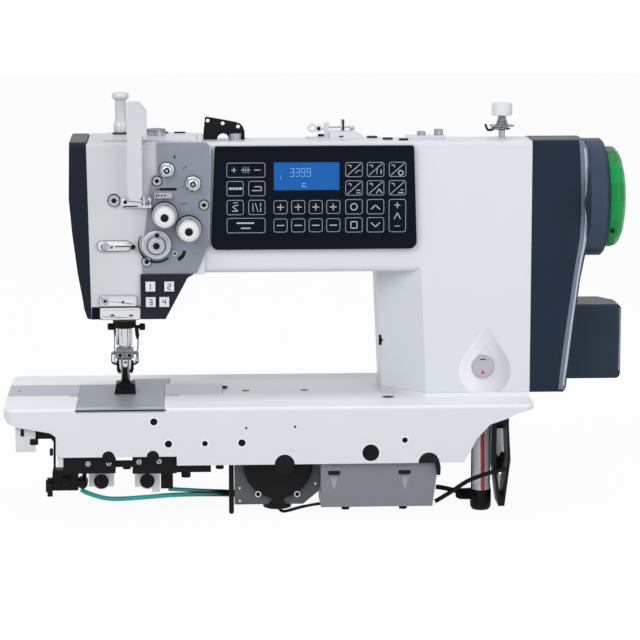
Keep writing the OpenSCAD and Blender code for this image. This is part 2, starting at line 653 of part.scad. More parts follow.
module bushings() color([0.7, 0.58, 0.3]) difference() {
  union() {
    xcyl(51, 68, 13, 0, shaft_z);
    xcyl(232, 246, 13, 0, shaft_z);
    xcyl(bed_x1 - 12.3, bed_x1 + 5.5, 16, 0, shaft_z);
    zcyl(66, 90, 8, 0, 0);
    zcyl(72, 90, 7, press_x, press_y);
    zcyl(66, 73, 11, 0, 0);
    zcyl(head_z1 - wall - 1, 257, 8, press_x, press_y);
    xcyl(-57, -47, 8, low_y, -low_z);
    xcyl(61, 73, 8, low_y, -low_z);
    xcyl(275, 287, 8, low_y, -low_z);
  }
  xcyl(40, bed_x1 + 19.5, shaft_r + run, 0, shaft_z);
  zcyl(60, 100, bar_r + run, 0, 0);
  zcyl(60, 100, press_r + run, press_x, press_y);
  zcyl(200, 270, 5.6 + run, press_x, press_y);
  xcyl(-70, 300, low_r + run, low_y, -low_z);
}
module belt_run(r) {
  a = atan2(-low_z - shaft_z, low_y);
  l = norm([low_y, low_z + shaft_z]);
  translate([0, shaft_z]) circle(r);
  translate([low_y, -low_z]) circle(r);
  translate([0, shaft_z]) rotate(a) translate([0, 0.03 - r]) square([l, 2 * r - 0.06]);
}
module timing_belt() color(black) side(belt_x + 1, belt_x + belt_w - 1) difference() {
  belt_run(pulley_r + 2.2);
  belt_run(pulley_r + 0.3);
}
module lower_shaft() color(steel) {
  xcyl(-57.5, 330, low_r, low_y, -low_z);
  for (s = [-1, 1]) xcyl(s * hook_x - 7, s * hook_x + 7, 11, low_y, -low_z);
  xcyl(belt_x - 0.5, belt_x + belt_w + 0.5, pulley_r, low_y, -low_z);
  xcyl(belt_x - 2, belt_x - 0.4, pulley_r + 3, low_y, -low_z);
  xcyl(belt_x + belt_w + 0.4, belt_x + belt_w + 2, pulley_r + 3, low_y, -low_z);
}
module hook(x) {
  difference() {
    union() {
      zcyl(-26, -11.5, hook_r, x, 0);
      zcyl(-33, -26, 7, x, 0);
      zcyl(-43, -33, 10.4, x, 0);
      zcyl(-54, -43, 4, x, 0);
    }
    zcyl(-23, -10, hook_r - 2.4, x, 0);
    // thread clearance beside the hook point
    translate([x, 0, 0]) rotate([0, 0, 30]) box([10, -4, -20], [hook_r + 2, 4, -10]);
  }
}
module hook_left() color(steel) hook(-hook_x);
module hook_right() color(steel) hook(hook_x);
module bobbin_cases() color([0.75, 0.76, 0.78]) for (s = [-1, 1]) {
  difference() {
    union() {
      zcyl(-22.5, -10, hook_r - 3, s * hook_x, 0);
      // position finger held by the needle plate
      box([s * hook_x - 3, -hook_r + 2, -11], [s * hook_x + 3, -4, -4 - 2 * fit]);
    }
    zcyl(-21, -9.2, hook_r - 7, s * hook_x, 0);
  }
  // bobbin with its core
  zcyl(-21, -20, hook_r - 7.6, s * hook_x, 0);
  zcyl(-20, -13, 7, s * hook_x, 0);
  zcyl(-13, -12, hook_r - 7.6, s * hook_x, 0);
}

// ---- needle bar and presser ----
module needle_bar() color([0.8, 0.8, 0.82]) {
  zcyl(38, 232, bar_r, 0, 0);
  // driving stud for the rod
  box([-6, -7, stud_z - 6], [5.4, 7, stud_z + 6]);
  xcyl(5.3, 10.5, 3.4, 0, stud_z);
}
module connecting_rod() color(steel) difference() {
  union() {
    xcyl(5.8, 10.8, 7, 0, stud_z);
    xcyl(5.8, 10.8, 9, pin_y, pin_z);
    translate([6.5, 0, stud_z]) rotate([atan2(-pin_y, pin_z - stud_z), 0, 0])
      translate([0, -4, 0]) cube([3.6, 8, norm([pin_y, pin_z - stud_z])]);
  }
  xcyl(5, 12, 3.4 + fit, 0, stud_z);
  xcyl(5, 12, 5.2, pin_y, pin_z);
}
module needle_clamp() color([0.55, 0.56, 0.58]) {
  difference() {
    union() {
      box([-8.6, -6.5, 35], [8.6, 6.5, 44]);
      zcyl(43.9, 46, 6.5, 0, 0);
      xcyl(-12.4, -8.5, 1.6, 0, 39);
      xcyl(8.5, 12.4, 1.6, 0, 39);
    }
    zcyl(37.9, 50, bar_r + fit, 0, 0);
    for (s = [-1, 1]) zcyl(30, 37.6, 0.82, s * gauge / 2, 0, $fn = 24);
  }
  for (s = [-1, 1]) {
    zcyl(18, 37.5, 0.8, s * gauge / 2, 0, $fn = 24);
    translate([s * gauge / 2, 0, 12]) cylinder(h = 6.01, r1 = 0.25, r2 = 0.8, $fn = 24);
  }
  // thread hooks under the clamp
  for (s = [-1, 1]) rod([s * 13.15, 0, 39], [s * 13.15, -6, 31], 0.7);
}
module take_up_lever() color([0.8, 0.8, 0.82]) {
  xcyl(11.5, 66, 5, -5, 234);
  difference() {
    union() {
      xcyl(11.5, 17, 8.5, -5, 234);
      translate([0, -5, 234]) rotate([-40, 0, 0]) translate([12.4, -58, -4]) cube([3.7, 52, 8]);
      translate([0, -5, 234]) rotate([-40, 0, 0]) translate([0, -58, 0]) xcyl(11.9, 16.6, 5);
    }
    translate([0, -5, 234]) rotate([-40, 0, 0]) translate([0, -58, 0]) xcyl(11, 18, 2);
  }
}
module presser_bar() color([0.8, 0.8, 0.82]) {
  zcyl(14, 243, press_r, press_x, press_y);
  // lifting block
  box([press_x - 8, press_y - 7, 160], [press_x + 8, press_y + 7, 172]);
}
module presser_foot() color(black) difference() {
  union() {
    // shank
    box([-8, press_y - 7, 18], [6, press_y + 7, 34]);
    box([-7, 8, 17.5], [7, press_y - 6.9, 29]);
    box([-4, 8, 5], [4.4, 13.5, 17.6]);
    // sole and toe
    difference() {
      front(-17, 14) polygon([[-9, 8.5], [-10.4, 0.3], [10.6, 0.3], [9.4, 8.5]]);
      translate([0, -17, 3]) rotate([24, 0, 0]) box([-20, -20, 0], [20, 14, 20]);
    }
  }
  zcyl(10, 40, press_r + fit, press_x, press_y);
  box([-6.2, -4, -1], [6.2, 2.9, 40]);
}
module pressure_knob() color(white) {
  difference() {
    union() {
      zcyl(258, 267, 6.9, press_x, press_y);
      zcyl(267, 291, 5.6, press_x, press_y);
      zcyl(290.5, 297, 8.3, press_x, press_y);
      zcyl(251.5, 258.01, 5.6, press_x, press_y);
    }
    for (i = [0 : 11])
      zcyl(292, 298, 0.9, press_x + 8.6 * cos(30 * i), press_y + 8.6 * sin(30 * i), $fn = 12);
    for (i = [0 : 11])
      zcyl(259, 266, 0.8, press_x + 7.2 * cos(30 * i), press_y + 7.2 * sin(30 * i), $fn = 12);
  }
}
module lifter_lever() color(black) {
  ycyl(36, 58, 5, -14, 150);
  // cam under the lifting block
  box([-17, 36, 140], [-4, 39.6, 148]);
  // hand lever behind the head
  box([-18, 54, 96], [-10, 60, 154]);
  ycyl(53, 61, 6, -14, 94);
}

// ---- bed plates, feed ----
module needle_plate() color(steel) difference() {
  union() {
    box([-45.6, -bed_front, -4], [38.9, 37, 0]);
    box([7, 36.9, -4], [44, 67, 0]);
  }
  for (s = [-1, 1]) {
    zcyl(-5, 1, 1.3, s * gauge / 2, 0, $fn = 24);
    box([s * 7.2 - 2.3, -17, -5], [s * 7.2 + 2.3, 20, 1]);
  }
  box([-50, -bed_front - 1, -1.2], [50, -bed_front + 7, 1]);
  for (p = [[-38, 28], [32, -14], [-38, -14], [38, 60]]) zcyl(-5, 1, 2, p[0], p[1]);
}
module slide_plate_left() color(steel) difference() {
  box([-116, -21, -2.4], [-45.9, 37, 0]);
  box([-52, -16, -1], [-46, -14.6, 1]);
  zcyl(-5, 1, 2, -106, 6);
}
module slide_plate_right() color(steel) difference() {
  box([39.3, -21, -2.4], [97, 37, 0]);
  zcyl(-5, 1, 2, 93.2, 15);
  // clear of the rear tongue of the needle plate
  box([39, 36.8, -3], [44.5, 38, 1]);
}
module feed_bar() color([0.5, 0.51, 0.53]) {
  for (s = [-1, 1]) box([s * 7.2 - 1.7, -13, -8], [s * 7.2 + 1.7, 16, -0.6]);
  box([-8.9, 12, -9], [8.9, 16, -4.6]);
  box([-4, 15.9, -11], [4, 64, -5]);
}

// ---- covers, windows, small fittings ----
module oil_window() color([0.85, 0.9, 0.8]) {
  ycyl(-arm_f + 2.4, -arm_f + wall + 2, 11.4, bed_x1 - 46.5, 29.6);
}
module plugs() color(black) {
  // clip and stop on the head lid
  box([51, 28, head_z1 + 1.5 + fit], [62, 32, head_z1 + 2.7]);
  zcyl(head_z1 + 1.5 + fit, head_z1 + 2.7, 1.7, 43.5, 30);
  for (p = top_plugs) zcyl(arm_z1 - 6, arm_z1 + 1.4, p[2], p[0], p[1]);
  ycyl(-bed_front - 0.6, -bed_front + 5 - fit, 8.2 - fit, 239.9, -46.3);
  zcyl(-6 + fit, -0.4, 6.1 - fit, 260.3, -43);
}
module screws() color([0.7, 0.71, 0.73]) {
  face_screw(34, 217, plate_y - fit, 4.3);
  face_screw(23.3, 138, plate_y - fit, 4.4);
  face_screw(79.4, 193.3, plate_y - fit, 4.3);
  face_screw(50.7, 146.1, plate_y - fit, 2.9);
  face_screw(-7.8, 198, face_y - fit, 5.4, 3);
  face_screw(-16.8, 154, -52.02, 3.6);
  face_screw(-17.6, 99.6, -52.52, 3.6);
  top_screw(100.2, 15, fit, 2.6, 1.2);
  for (p = [[-38, 28], [32, -14], [-38, -14], [38, 60]]) zcyl(-3, -0.3, 1.9, p[0], p[1]);
  top_screw(33.2, 10, head_z1 + 1.5 + fit, 9.2, 6);
  top_screw(110.6, -24.5, arm_z1 + fit, 5.6, 6.6);
  // screws of the lid over the pillar
  top_screw(294.9, -5, arm_z1 + 2.4 + fit, 4.2, 3.6);
  top_screw(312.1, -5, arm_z1 + 2.4 + fit, 4.5, 5.6);
}
module control_box() color(navy) {
  intersection() {
    translate([0, 0, pad_h + fit]) linear_extrude(76.1)
      polygon([[bed_x1 + 46.5, 25], [bed_x1 + 101.8, 25], [bed_x1 + 101.8, 50], [bed_x1 + 85, 78],
               [bed_x1 - 15.5, 78], [bed_x1 - 15.5, arm_b + fit], [bed_x1 + 46.5, arm_b + fit]]);
    front(20, 80) rrect(bed_x1 - 20.5, pad_h + fit, bed_x1 + 101.8, pad_h + fit + 76.1, 5);
  }
}

// ---- parts hanging under the bed ----
module brackets() color(black) {
  // bent strap from the wing to the first valve plate
  front(-78, -74) polygon([
    [-88, -23.4], [-88, -31.6], [-71, -31.6], [-68.8, -34.5], [-69.2, -apron_l - 20],
    [-59.7, -apron_l - 20], [-59.7, -apron_l - 15], [-67, -apron_l - 15], [-66.5, -31], [-66.3, -28.2],
    [-70, -24.4]
  ]);
  box([-87.9, -78, -31.5], [-84, -70, -19.4]);
  // hanger on the right
  difference() {
    union() {
      front(-78, -44) polygon([
        [bed_x1 - 38.3, -24], [bed_x1 - 24, -24], [bed_x1 - 22, -57], [bed_x1 - 27.6, -104],
        [bed_x1 - 33.6, -104], [bed_x1 - 38.6, -66]
      ]);
      box([bed_x1 - 38.3, -78, -24.1], [bed_x1 - 24, -44, -5 - fit]);
    }
    front(-80, -40) polygon([
      [bed_x1 - 36, -22], [bed_x1 - 26.4, -22], [bed_x1 - 24.6, -57], [bed_x1 - 29, -95],
      [bed_x1 - 32, -95], [bed_x1 - 36.2, -66]
    ]);
  }
}
module valve_plates() color(black) {
  box([-59.6, -84, -apron_l - 17.3], [-8.8, -50, -apron_l - fit]);
  box([-8.81, -80, -apron_l - 12], [7.81, -76, -apron_l - 6]);
  box([7.8, -84, -apron_l - 18], [50.8, -50, -apron_l - fit]);
  box([50.79, -82, -apron_l - 17.5], [51.2, -60, -apron_l - 10]);
  box([50.9, -82, -apron_r - 8.5], [84.2, -60, -apron_r - fit]);
  // block and joint at the left
  box([-71, -64, -apron_l - 38.5], [-46, -40, -apron_l - 20.02]);
  box([-76, -66, -apron_l - 44], [-70.99, -60, -apron_l - 26]);
  ycyl(-66, -50, 5, -41.6, -apron_l - 31.5);
  box([-42, -60, -apron_l - 31], [-38, -50, -apron_l - 17.2]);
  // cube on the second valve and the long post
  box([35, -62, -apron_l - 38], [47, -50, -apron_l - 17.9]);
  zcyl(-apron_r - 53.5, -apron_r - fit, 2.5, 104.4, -60);
  translate([104.4, -60, -apron_r - 53.5]) sphere(2.5);
}
module air_valves() color([0.62, 0.64, 0.67]) {
  // angle plate hung from the left wing
  box([-105.3, -80, -43.8], [-86, -78 - fit, -19]);
  box([-104, -80, -21], [-92, -74, -9 - fit]);
  box([-35.5, -62, -apron_l - 35.3], [-11, -46, -apron_l - 17.4]);
  ycyl(-65, -61.9, 8, -23.2, -apron_l - 29.5);
  box([9.5, -62, -apron_l - 35.9], [34, -46, -apron_l - 18.1]);
  ycyl(-65, -61.9, 8.5, 21.8, -apron_l - 29.5);
  box([26.4, -62, -apron_l - 41.5], [34, -58, -apron_l - 35.8]);
}
module air_hoses() color([0, 0.58, 0.56]) translate([0, 0, -apron_l]) {
  cable([[-43.6, -58, -38.9], [-36.4, -58, -42.8], [-20.0, -58, -47.8], [-3.6, -58, -48.7],
         [20.9, -57.5, -47.4], [45.6, -55, -46.2], [70.2, -50, -46.9], [91.4, -44, -48.5],
         [103.3, -41.2, -49.5], [122, -40.8, -50.6]], 2.3);
  cable([[42.3, -54, -40.2], [62.7, -50, -42.5], [81.8, -43.5, -45.1], [95.4, -38.2, -46.9],
         [105.4, -36.2, -47.9], [122, -35.6, -48.6]], 2);
}
module solenoid() color([0.5, 0.51, 0.54]) {
  top = -apron_r - fit;
  difference() {
    front(-62, -44) polygon([[107.6, top], [190.6, top], [190.6, top - 33], [175, top - 46],
                            [107.6, top - 46]]);
    for (x = [131, 170]) ycyl(-63, -55, 2.6, x, top - 36);
  }
  for (x = [120, 166]) box([x, -60, top - 3], [x + 12, -46, -12 - fit]);
  intersection() {
    ycyl(-66, -61.9, 33.5, 150, top - 5.5);
    box([100, -70, top - 60], [200, -60, top]);
  }
  zcyl(top - 49, top - 45.9, 13.5, 149.7, -53);
  zcyl(top - 52, top - 49, 3, 149.7, -53);
  cable([[152, -53, top - 51], [156, -56, top - 54.5], [172, -58, top - 50],
         [191.5, -60, top - 46]], 1.2, 10);
}
module driver_box() color([0.5, 0.51, 0.54]) difference() {
  top = -apron_r - fit;
  right = bed_x1 - 93.5;
  front(-84, -36) polygon([[191.5, top], [right, top], [right - 6, top - 44.5],
                          [191.5, top - 44.5]]);
  for (x = [204.5, right - 33]) {
    front(-86, -79) polygon([[x - 6, top - 10], [x + 6, top - 10], [x, top - 29]]);
    ycyl(-86, -79, 6, x, top - 9);
  }
}
module cables() color(black) {
  translate([bed_x1, 0, 0]) {
    cable([[-93.8, -60, -87.8], [-84.5, -62, -89], [-71.5, -64, -92]], 2.4);
    xcyl(-72, -59.5, 5, -64, -94.2);
    cable([[-95.5, -70, -100.4], [-80.3, -69, -91.5], [-64.5, -71, -80.5],
           [-51.5, -77, -73.5], [-43.5, -80.7, -70], [-34.5, -81.4, -67.4],
           [-26.5, -81.4, -65.6]], 2.2);
  }
  for (x = [217, bed_x1 - 126.5]) zcyl(-apron_r - 52, -apron_r - 44.54, 4, x, -60);
}
module oil_tube() color([0.75, 0.77, 0.78]) difference() {
  union() {
    zcyl(-88, -5 - fit, 9.4, bed_x1 - 48.5, -52);
    zcyl(-110, -88, 9.8, bed_x1 - 48.5, -52);
  }
  zcyl(-86, -9, 7.4, bed_x1 - 48.5, -52);
}
module float_rod() color([0.8, 0.22, 0.26]) zcyl(-86 + fit, -32, 2.2, bed_x1 - 48.5, -52);

bed();
bed_skirt();
arm();
face_cover();
top_cover();
panel();
display();
tension_plate();
tension_posts();
thread_guides();
fin_guide();
take_up_guard();
finger_guard();
button_plate();
end_cover();
motor_housing();
motor_stator();
control_box();
needle_plate();
slide_plate_right();
bobbin_cases();
oil_window();
plugs();
screws();
brackets();
valve_plates();
air_valves();
air_hoses();
solenoid();
driver_box();
cables();
oil_tube();
float_rod();
bushings();
timing_belt();
springs();
main_shaft();
motor_rotor();
handwheel();
lower_shaft();
hook_left();
hook_right();
needle_bar();
needle_clamp();
connecting_rod();
take_up_lever();
presser_bar();
presser_foot();
pressure_knob();
lifter_lever();
tension_nut_left();
tension_nut_right();
thread_disc();
winder_cap();
slide_plate_left();
button_1();
button_2();
button_3();
button_4();
feed_bar();
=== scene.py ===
"""Double-needle sewing machine head: finishes, fine pieces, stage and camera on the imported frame."""

import json
import math

import bmesh
import bpy
import numpy as np
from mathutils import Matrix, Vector


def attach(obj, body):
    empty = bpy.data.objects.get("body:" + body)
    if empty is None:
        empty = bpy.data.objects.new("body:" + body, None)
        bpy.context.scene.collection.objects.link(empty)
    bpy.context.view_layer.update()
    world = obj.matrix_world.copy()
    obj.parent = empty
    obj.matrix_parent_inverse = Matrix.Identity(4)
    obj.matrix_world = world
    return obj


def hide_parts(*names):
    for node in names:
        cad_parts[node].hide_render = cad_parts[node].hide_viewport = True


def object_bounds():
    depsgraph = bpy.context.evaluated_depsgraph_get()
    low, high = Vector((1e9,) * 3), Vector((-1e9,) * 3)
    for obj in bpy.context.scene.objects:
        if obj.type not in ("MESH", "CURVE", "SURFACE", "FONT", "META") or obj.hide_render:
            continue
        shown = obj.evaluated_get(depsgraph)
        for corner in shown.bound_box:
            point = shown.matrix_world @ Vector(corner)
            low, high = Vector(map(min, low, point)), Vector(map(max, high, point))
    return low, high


bl_info = {
    "name": "Sewing Machine Head",
    "version": (1, 0, 0),
    "blender": (4, 5, 0),
    "location": "View3D > Sidebar > Sewing Head",
    "description": "Dresses a double-needle sewing machine head with finishes and fine pieces",
    "category": "Add Mesh",
}

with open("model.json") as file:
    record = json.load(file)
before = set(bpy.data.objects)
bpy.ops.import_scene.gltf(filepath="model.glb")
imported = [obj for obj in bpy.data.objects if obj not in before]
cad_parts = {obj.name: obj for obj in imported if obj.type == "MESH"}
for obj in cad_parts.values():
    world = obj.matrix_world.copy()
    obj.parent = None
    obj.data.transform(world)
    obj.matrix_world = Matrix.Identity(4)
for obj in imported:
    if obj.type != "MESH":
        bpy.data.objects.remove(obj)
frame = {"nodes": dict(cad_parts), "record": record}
CAD_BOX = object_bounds()
MM = 0.001

# places that several pieces share, in millimetres
HEAD_Y = -50          # front face of the head
PLATE_Y = -52         # front of the tension plate
FILM_Y = -52.4        # front of the panel film
BED_Y = -90           # front of the bed's rim
SHAFT_Z = 193         # height of the main shaft
WINDER = (375, -5)    # axis of the winder tension
PRESSER = (-2, 24)    # axis of the presser bar
DISC = (33, 155)      # centre of the large guide disc
WINDOW = (354, 29.6)  # centre of the oil window


# ---- settings

def colour(label, note, rgb):
    """Property that holds a display colour, given as 8-bit red, green and blue."""
    return bpy.props.FloatVectorProperty(name=label, description=note, size=3, min=0, max=1,
                                         subtype="COLOR_GAMMA", default=[c / 255 for c in rgb])


def length(label, note, size):
    """Property that holds a length, given in millimetres and kept in metres."""
    return bpy.props.FloatProperty(name=label, description=note, unit="LENGTH", min=0, default=size * MM)


def power(label, note, watts):
    """Property that holds the power of a lamp in watts."""
    return bpy.props.FloatProperty(name=label, description=note, unit="POWER", min=0, default=watts)


def angle(label, note, degrees):
    """Property that holds an angle, given in degrees and kept in radians."""
    return bpy.props.FloatProperty(name=label, description=note, subtype="ANGLE",
                                   default=math.radians(degrees))


class HeadColours(bpy.types.PropertyGroup):
    """Colours of the painted, moulded and ground parts"""
    castings: colour("Castings", "Enamel of the arm, the head and the pillar", (213, 216, 221))
    deck: colour("Deck", "Enamel of the bed top and of its front", (202, 204, 208))
    skirt: colour("Skirt", "Enamel of the side walls of the bed", (213, 215, 220))
    covers: colour("Covers", "Plastic of the navy covers", (26, 39, 54))
    face: colour("Face cover", "Plastic of the left face cover", (18, 26, 37))
    motor: colour("Motor ring", "Plastic of the ring behind the handwheel", (54, 67, 86))
    box: colour("Control box", "Plastic of the box behind the end cover", (42, 56, 72))
    # the two facet colours below are painted light and shade: each facet of the handwheel gets a shade
    # between them for how it catches the light
    wheel_dark: colour("Wheel, dark", "Darkest facet of the handwheel", (0, 100, 48))
    wheel_light: colour("Wheel, light", "Lightest facet of the handwheel", (5, 150, 72))
    hoses: colour("Hoses", "Plastic of the two air hoses", (0, 158, 146))
    slides: colour("Slide plates", "Ground steel of the slide plates", (180, 184, 194))
    throat: colour("Needle plate", "Ground steel of the needle plate", (145, 152, 160))
    silver: colour("Tension plate", "Satin metal of the tension plate", (131, 138, 150))
    panel: colour("Panel", "Film of the operating panel", (8, 14, 25))
    screen: colour("Screen", "Film of the screen", (24, 92, 166))
    knobs: colour("White plastic", "Plastic of the thumb nuts and of the buttons", (217, 218, 220))
    driver: colour("Driver box", "Enamel of the box under the bed", (124, 126, 133))
    solenoid: colour("Solenoid", "Enamel of the round solenoid", (89, 91, 94))
    floor: bpy.props.FloatVectorProperty(name="Floor", description="Paint of the floor", min=0, max=1,
                                         size=3, subtype="COLOR", default=(0.82, 0.82, 0.83))


class HeadSizes(bpy.types.PropertyGroup):
    """Sizes of the fine pieces"""
    key_line: length("Key line", "Width of the printed line round a key", 0.5)
    key_corner: length("Key corner", "Corner radius of the line round a key", 2.2)
    guard_wire: length("Guard wire", "Radius of the thicker needle guard wire", 0.65)
    wheel_facets: bpy.props.IntProperty(name="Wheel facets", min=3, max=64, default=16,
                                        description="Number of broad facets round the handwheel")
    nut_flutes: bpy.props.IntProperty(name="Nut flutes", min=0, max=48, default=24,
                                      description="Number of grip flutes round a thumb nut")


class HeadStage(bpy.types.PropertyGroup):
    """Camera, lamps and floor"""
    lens: bpy.props.FloatProperty(name="Lens", description="Focal length of the camera", unit="CAMERA",
                                  default=151.875, min=20, max=400)
    azimuth: angle("Azimuth", "Angle of the camera round the machine", -3)
    elevation: angle("Elevation", "Angle of the camera above the bed", 9.3)
    distance: length("Distance", "Distance from the camera to its aim", 2700)
    key: power("Key lamp", "Power of the lamp at the left front", 29)
    fill: power("Fill lamp", "Power of the lamp at the right front", 15)
    top: power("Top lamp", "Power of the lamp overhead", 9)
    floor_white: bpy.props.FloatProperty(name="Floor white", min=0, max=1, subtype="FACTOR", default=0.95,
                                         description="Share of white in the floor that the camera sees")


def sizes():
    """Sizes of the fine pieces."""
    return bpy.context.scene.sewing_sizes


# ---- finishes

# Columns: colour, roughness, metal, mottle, cloud scale, bump, grain scale, coat, gloss spread, rounded
# edge in millimetres, specular level. A colour in words is a property of HeadColours.
LOOKS = {
    "casting enamel": ("castings", 0.38, 0, 0.015, 18, 0.04, 1400, 0.05, 0.05, 1, 0.3),
    "bed enamel": ("deck", 0.4, 0, 0.015, 18, 0.04, 1400, 0, 0.05, 0, 0.3),
    "skirt enamel": ("skirt", 0.4, 0, 0.015, 18, 0.04, 1400, 0, 0.05, 0, 0.3),
    "dish enamel": ((228, 229, 233), 0.4, 0, 0.015, 60, 0.03, 1400, 0, 0.08, 0, 0.3),
    "rim enamel": ((236, 238, 241), 0.36, 0, 0.02),
    "grey enamel": ("driver", 0.42, 0, 0.05, 40, 0.08, 1200, 0, 0.06, 0.8, 0.25),
    "pocket enamel": ((158, 159, 163), 0.42, 0, 0.05, 40, 0.06),
    "solenoid enamel": ("solenoid", 0.45, 0, 0.06, 60, 0.08, 900, 0, 0.08, 1, 0.2),
    "navy plastic": ("covers", 0.4, 0, 0.1, 40, 0.08, 1500, 0, 0.06, 1, 0.14),
    "face cover navy": ("face", 0.4, 0, 0.1, 40, 0.08, 1500, 0, 0.06, 1, 0.14),
    "motor ring navy": ("motor", 0.4, 0, 0.1, 40, 0.08, 1500, 0, 0.06, 1, 0.14),
    "control box navy": ("box", 0.4, 0, 0.1, 40, 0.08, 1500, 0, 0.06, 1, 0.14),
    # painted reflections on the navy plastic: a band and its glint down the end cover and a lit line along
    # the control box
    "cover band": ((98, 111, 127), 0.34, 0, 0.12, 26, 0.05, 1200, 0.15, 0.05),
    "band glint": ((178, 187, 198), 0.34, 0, 0.1, 26, 0.04),
    "lit edge": ((136, 138, 160), 0.34, 0, 0.1, 60, 0.04),
    "panel film": ("panel", 0.3, 0, 0.25, 14, 0.02, 800, 0, 0.05, 0.6, 0.07),
    "screen film": ("screen", 0.3, 0, 0.06, 60, 0.02, 900, 0, 0.04, 0, 0.12),
    "key print": ((150, 160, 172), 0.4, 0, 0.08, 80, 0.02),
    "key symbols": ((176, 186, 196), 0.4, 0, 0.05, 80, 0.02),
    "screen figures": ((128, 182, 232), 0.4, 0, 0.05, 90, 0.01, 700),
    "white plastic": ("knobs", 0.36, 0, 0.03, 90, 0.03, 1200, 0.05, 0.05, 0.5, 0.3),
    "guard white": ((199, 202, 206), 0.4, 0, 0.03, 90, 0.03, 1200, 0, 0.08, 0.5, 0.3),
    "black oxide": ((15, 15, 17), 0.42, 0, 0.2, 70, 0.1, 900, 0, 0.08, 0.4, 0.14),
    "black plastic": ((33, 37, 44), 0.45, 0, 0.15, 60, 0.1, 1300, 0, 0.06, 0.4, 0.1),
    "black rubber": ((15, 15, 17), 0.55, 0, 0.15, 80, 0.15, 1100, 0, 0.08, 0, 0.12),
    "green plastic": ((4, 138, 62), 0.34, 0, 0.1, 50, 0.04, 900, 0, 0.05, 0.6, 0.16),
    "wheel green": ("wheel_light", 0.3, 0, 0.08, 50, 0.03, 900, 0, 0.05, 0, 0.2),
    "teal hose": ("hoses", 0.3, 0, 0.08, 60, 0.04, 800, 0.2),
    "red plastic": ((205, 52, 66), 0.35, 0, 0.06, 80, 0.03, 900, 0, 0.08, 0, 0.25),
    "clear window": ((222, 226, 228), 0.14, 0, 0.03, 30, 0.01, 600, 0.2, 0.03),
    "window pearl": ((176, 174, 183), 0.25, 0, 0.04, 60, 0.05, 900, 0.3),
    "soft rim": ((176, 177, 184), 0.4, 0, 0.04),
    "tube wall": ((216, 219, 224), 0.18, 0, 0.04, 30, 0.01, 600, 0.3, 0.03),
    "tube shade": ((150, 162, 178), 0.3, 0, 0.1),
    "satin plate": ("silver", 0.42, 0.2, 0.06, 24, 0.1, 700, 0, 0.08, 0.3, 0.35),
    "soft mark": ((96, 104, 114), 0.5, 0, 0.1, 60, 0.02),
    "rim highlight": ((176, 184, 195), 0.3, 0.2, 0.05, 60, 0.04, 800),
    "satin knob": ((206, 207, 209), 0.42, 0.25, 0.05, 60, 0.05),
    "slide plate": ("slides", 0.42, 0.12, 0.06, 24, 0.08, 700, 0, 0.08, 0.3, 0.35),
    "throat plate": ("throat", 0.42, 0.12, 0.06, 24, 0.08, 700, 0, 0.08, 0.3, 0.35),
    "lip steel": ((186, 191, 198), 0.3, 0.4, 0.05, 40, 0.05, 700),
    "ground steel": ((172, 176, 185), 0.34, 0.7, 0.06, 50, 0.12, 500, 0, 0.1, 0.3),
    "bright plating": ((214, 216, 221), 0.16, 0.95, 0.03, 60, 0.02, 800, 0, 0.04, 0.3),
    "dark steel": ((92, 95, 101), 0.3, 0.8, 0.15, 90, 0.1, 700),
    "clamp steel": ((132, 135, 141), 0.32, 0.5, 0.08, 60, 0.08, 700, 0, 0.08, 0.3),
    "dark bolt": ((66, 68, 74), 0.3, 0.5, 0.2, 90, 0.1, 700),
    "spring steel": ((140, 143, 150), 0.28, 0.85, 0.12, 90, 0.1, 700),
    "zinc plate": ((212, 214, 218), 0.34, 0.15, 0.05, 50, 0.06, 900, 0, 0.08, 0.4),
    "light zinc": ((208, 210, 210), 0.4, 0.1, 0.04, 40, 0.05),
    "bright zinc": ((240, 241, 244), 0.34, 0.1, 0.04, 50, 0.04),
    "motor winding": ((150, 88, 50), 0.42, 0.6, 0.2, 120, 0.3, 700),
    "bearing bronze": ((168, 136, 82), 0.36, 0.8, 0.08, 70, 0.08, 800),
}
# direction of the grinding marks: noise is squeezed along the axes with large numbers
BRUSHED = {"satin plate": (1, 1, 8), "ground steel": (1, 12, 12), "slide plate": (1, 8, 1),
           "throat plate": (1, 8, 1)}
SEE_THROUGH = {"clear window": 0.6}
# colours that drift along an axis: axis, start and end in metres, colour at the end and, where
# the drift is held back, the axis, start and end of a second ramp
DRIFT = {
    "casting enamel": [("X", 0.1, -0.04, (196, 198, 200))],
    # painted light and shade: the deck lightens to its front and its left and stays darker at the back and
    # right, under the arm
    "bed enamel": [("Y", -0.014, -0.06, (240, 242, 245)), ("X", 0.06, -0.05, (240, 242, 245))],
    # painted light on the top edge of the skirt and painted shade on its rear wall towards the right
    "skirt enamel": [("Z", -0.004, -0.0005, (240, 242, 245)),
                     ("Y", 0.045, 0.058, (194, 196, 200), ("X", 0, 0.1))],
    "teal hose": [("X", 0.045, 0.098, (8, 22, 30))],
    # painted light on the top face of the control box
    "control box navy": [("Z", 0.076, 0.0795, (54, 65, 84))],
    # painted shade on the right slope of the dish round the oil window
    "dish enamel": [("X", 0.343, 0.377, (190, 191, 198))],
    # painted shade towards the top of each pocket, under its slot
    "pocket enamel": [("Z", -0.078, -0.066, (118, 120, 126))],
}
# the common finish of every material slot
SLOTS = {
    "white_paint": "casting enamel", "white_plastic": "white plastic", "navy_plastic": "navy plastic",
    "panel_film": "panel film", "display_film": "screen film", "plate_silver": "satin plate",
    "steel": "ground steel", "chrome": "bright plating", "black": "black oxide",
    "black_plastic": "black plastic", "rubber": "black rubber", "green": "green plastic",
    "teal_hose": "teal hose", "grey_paint": "grey enamel", "copper": "motor winding",
    "bronze": "bearing bronze", "clear": "clear window", "red": "red plastic",
}
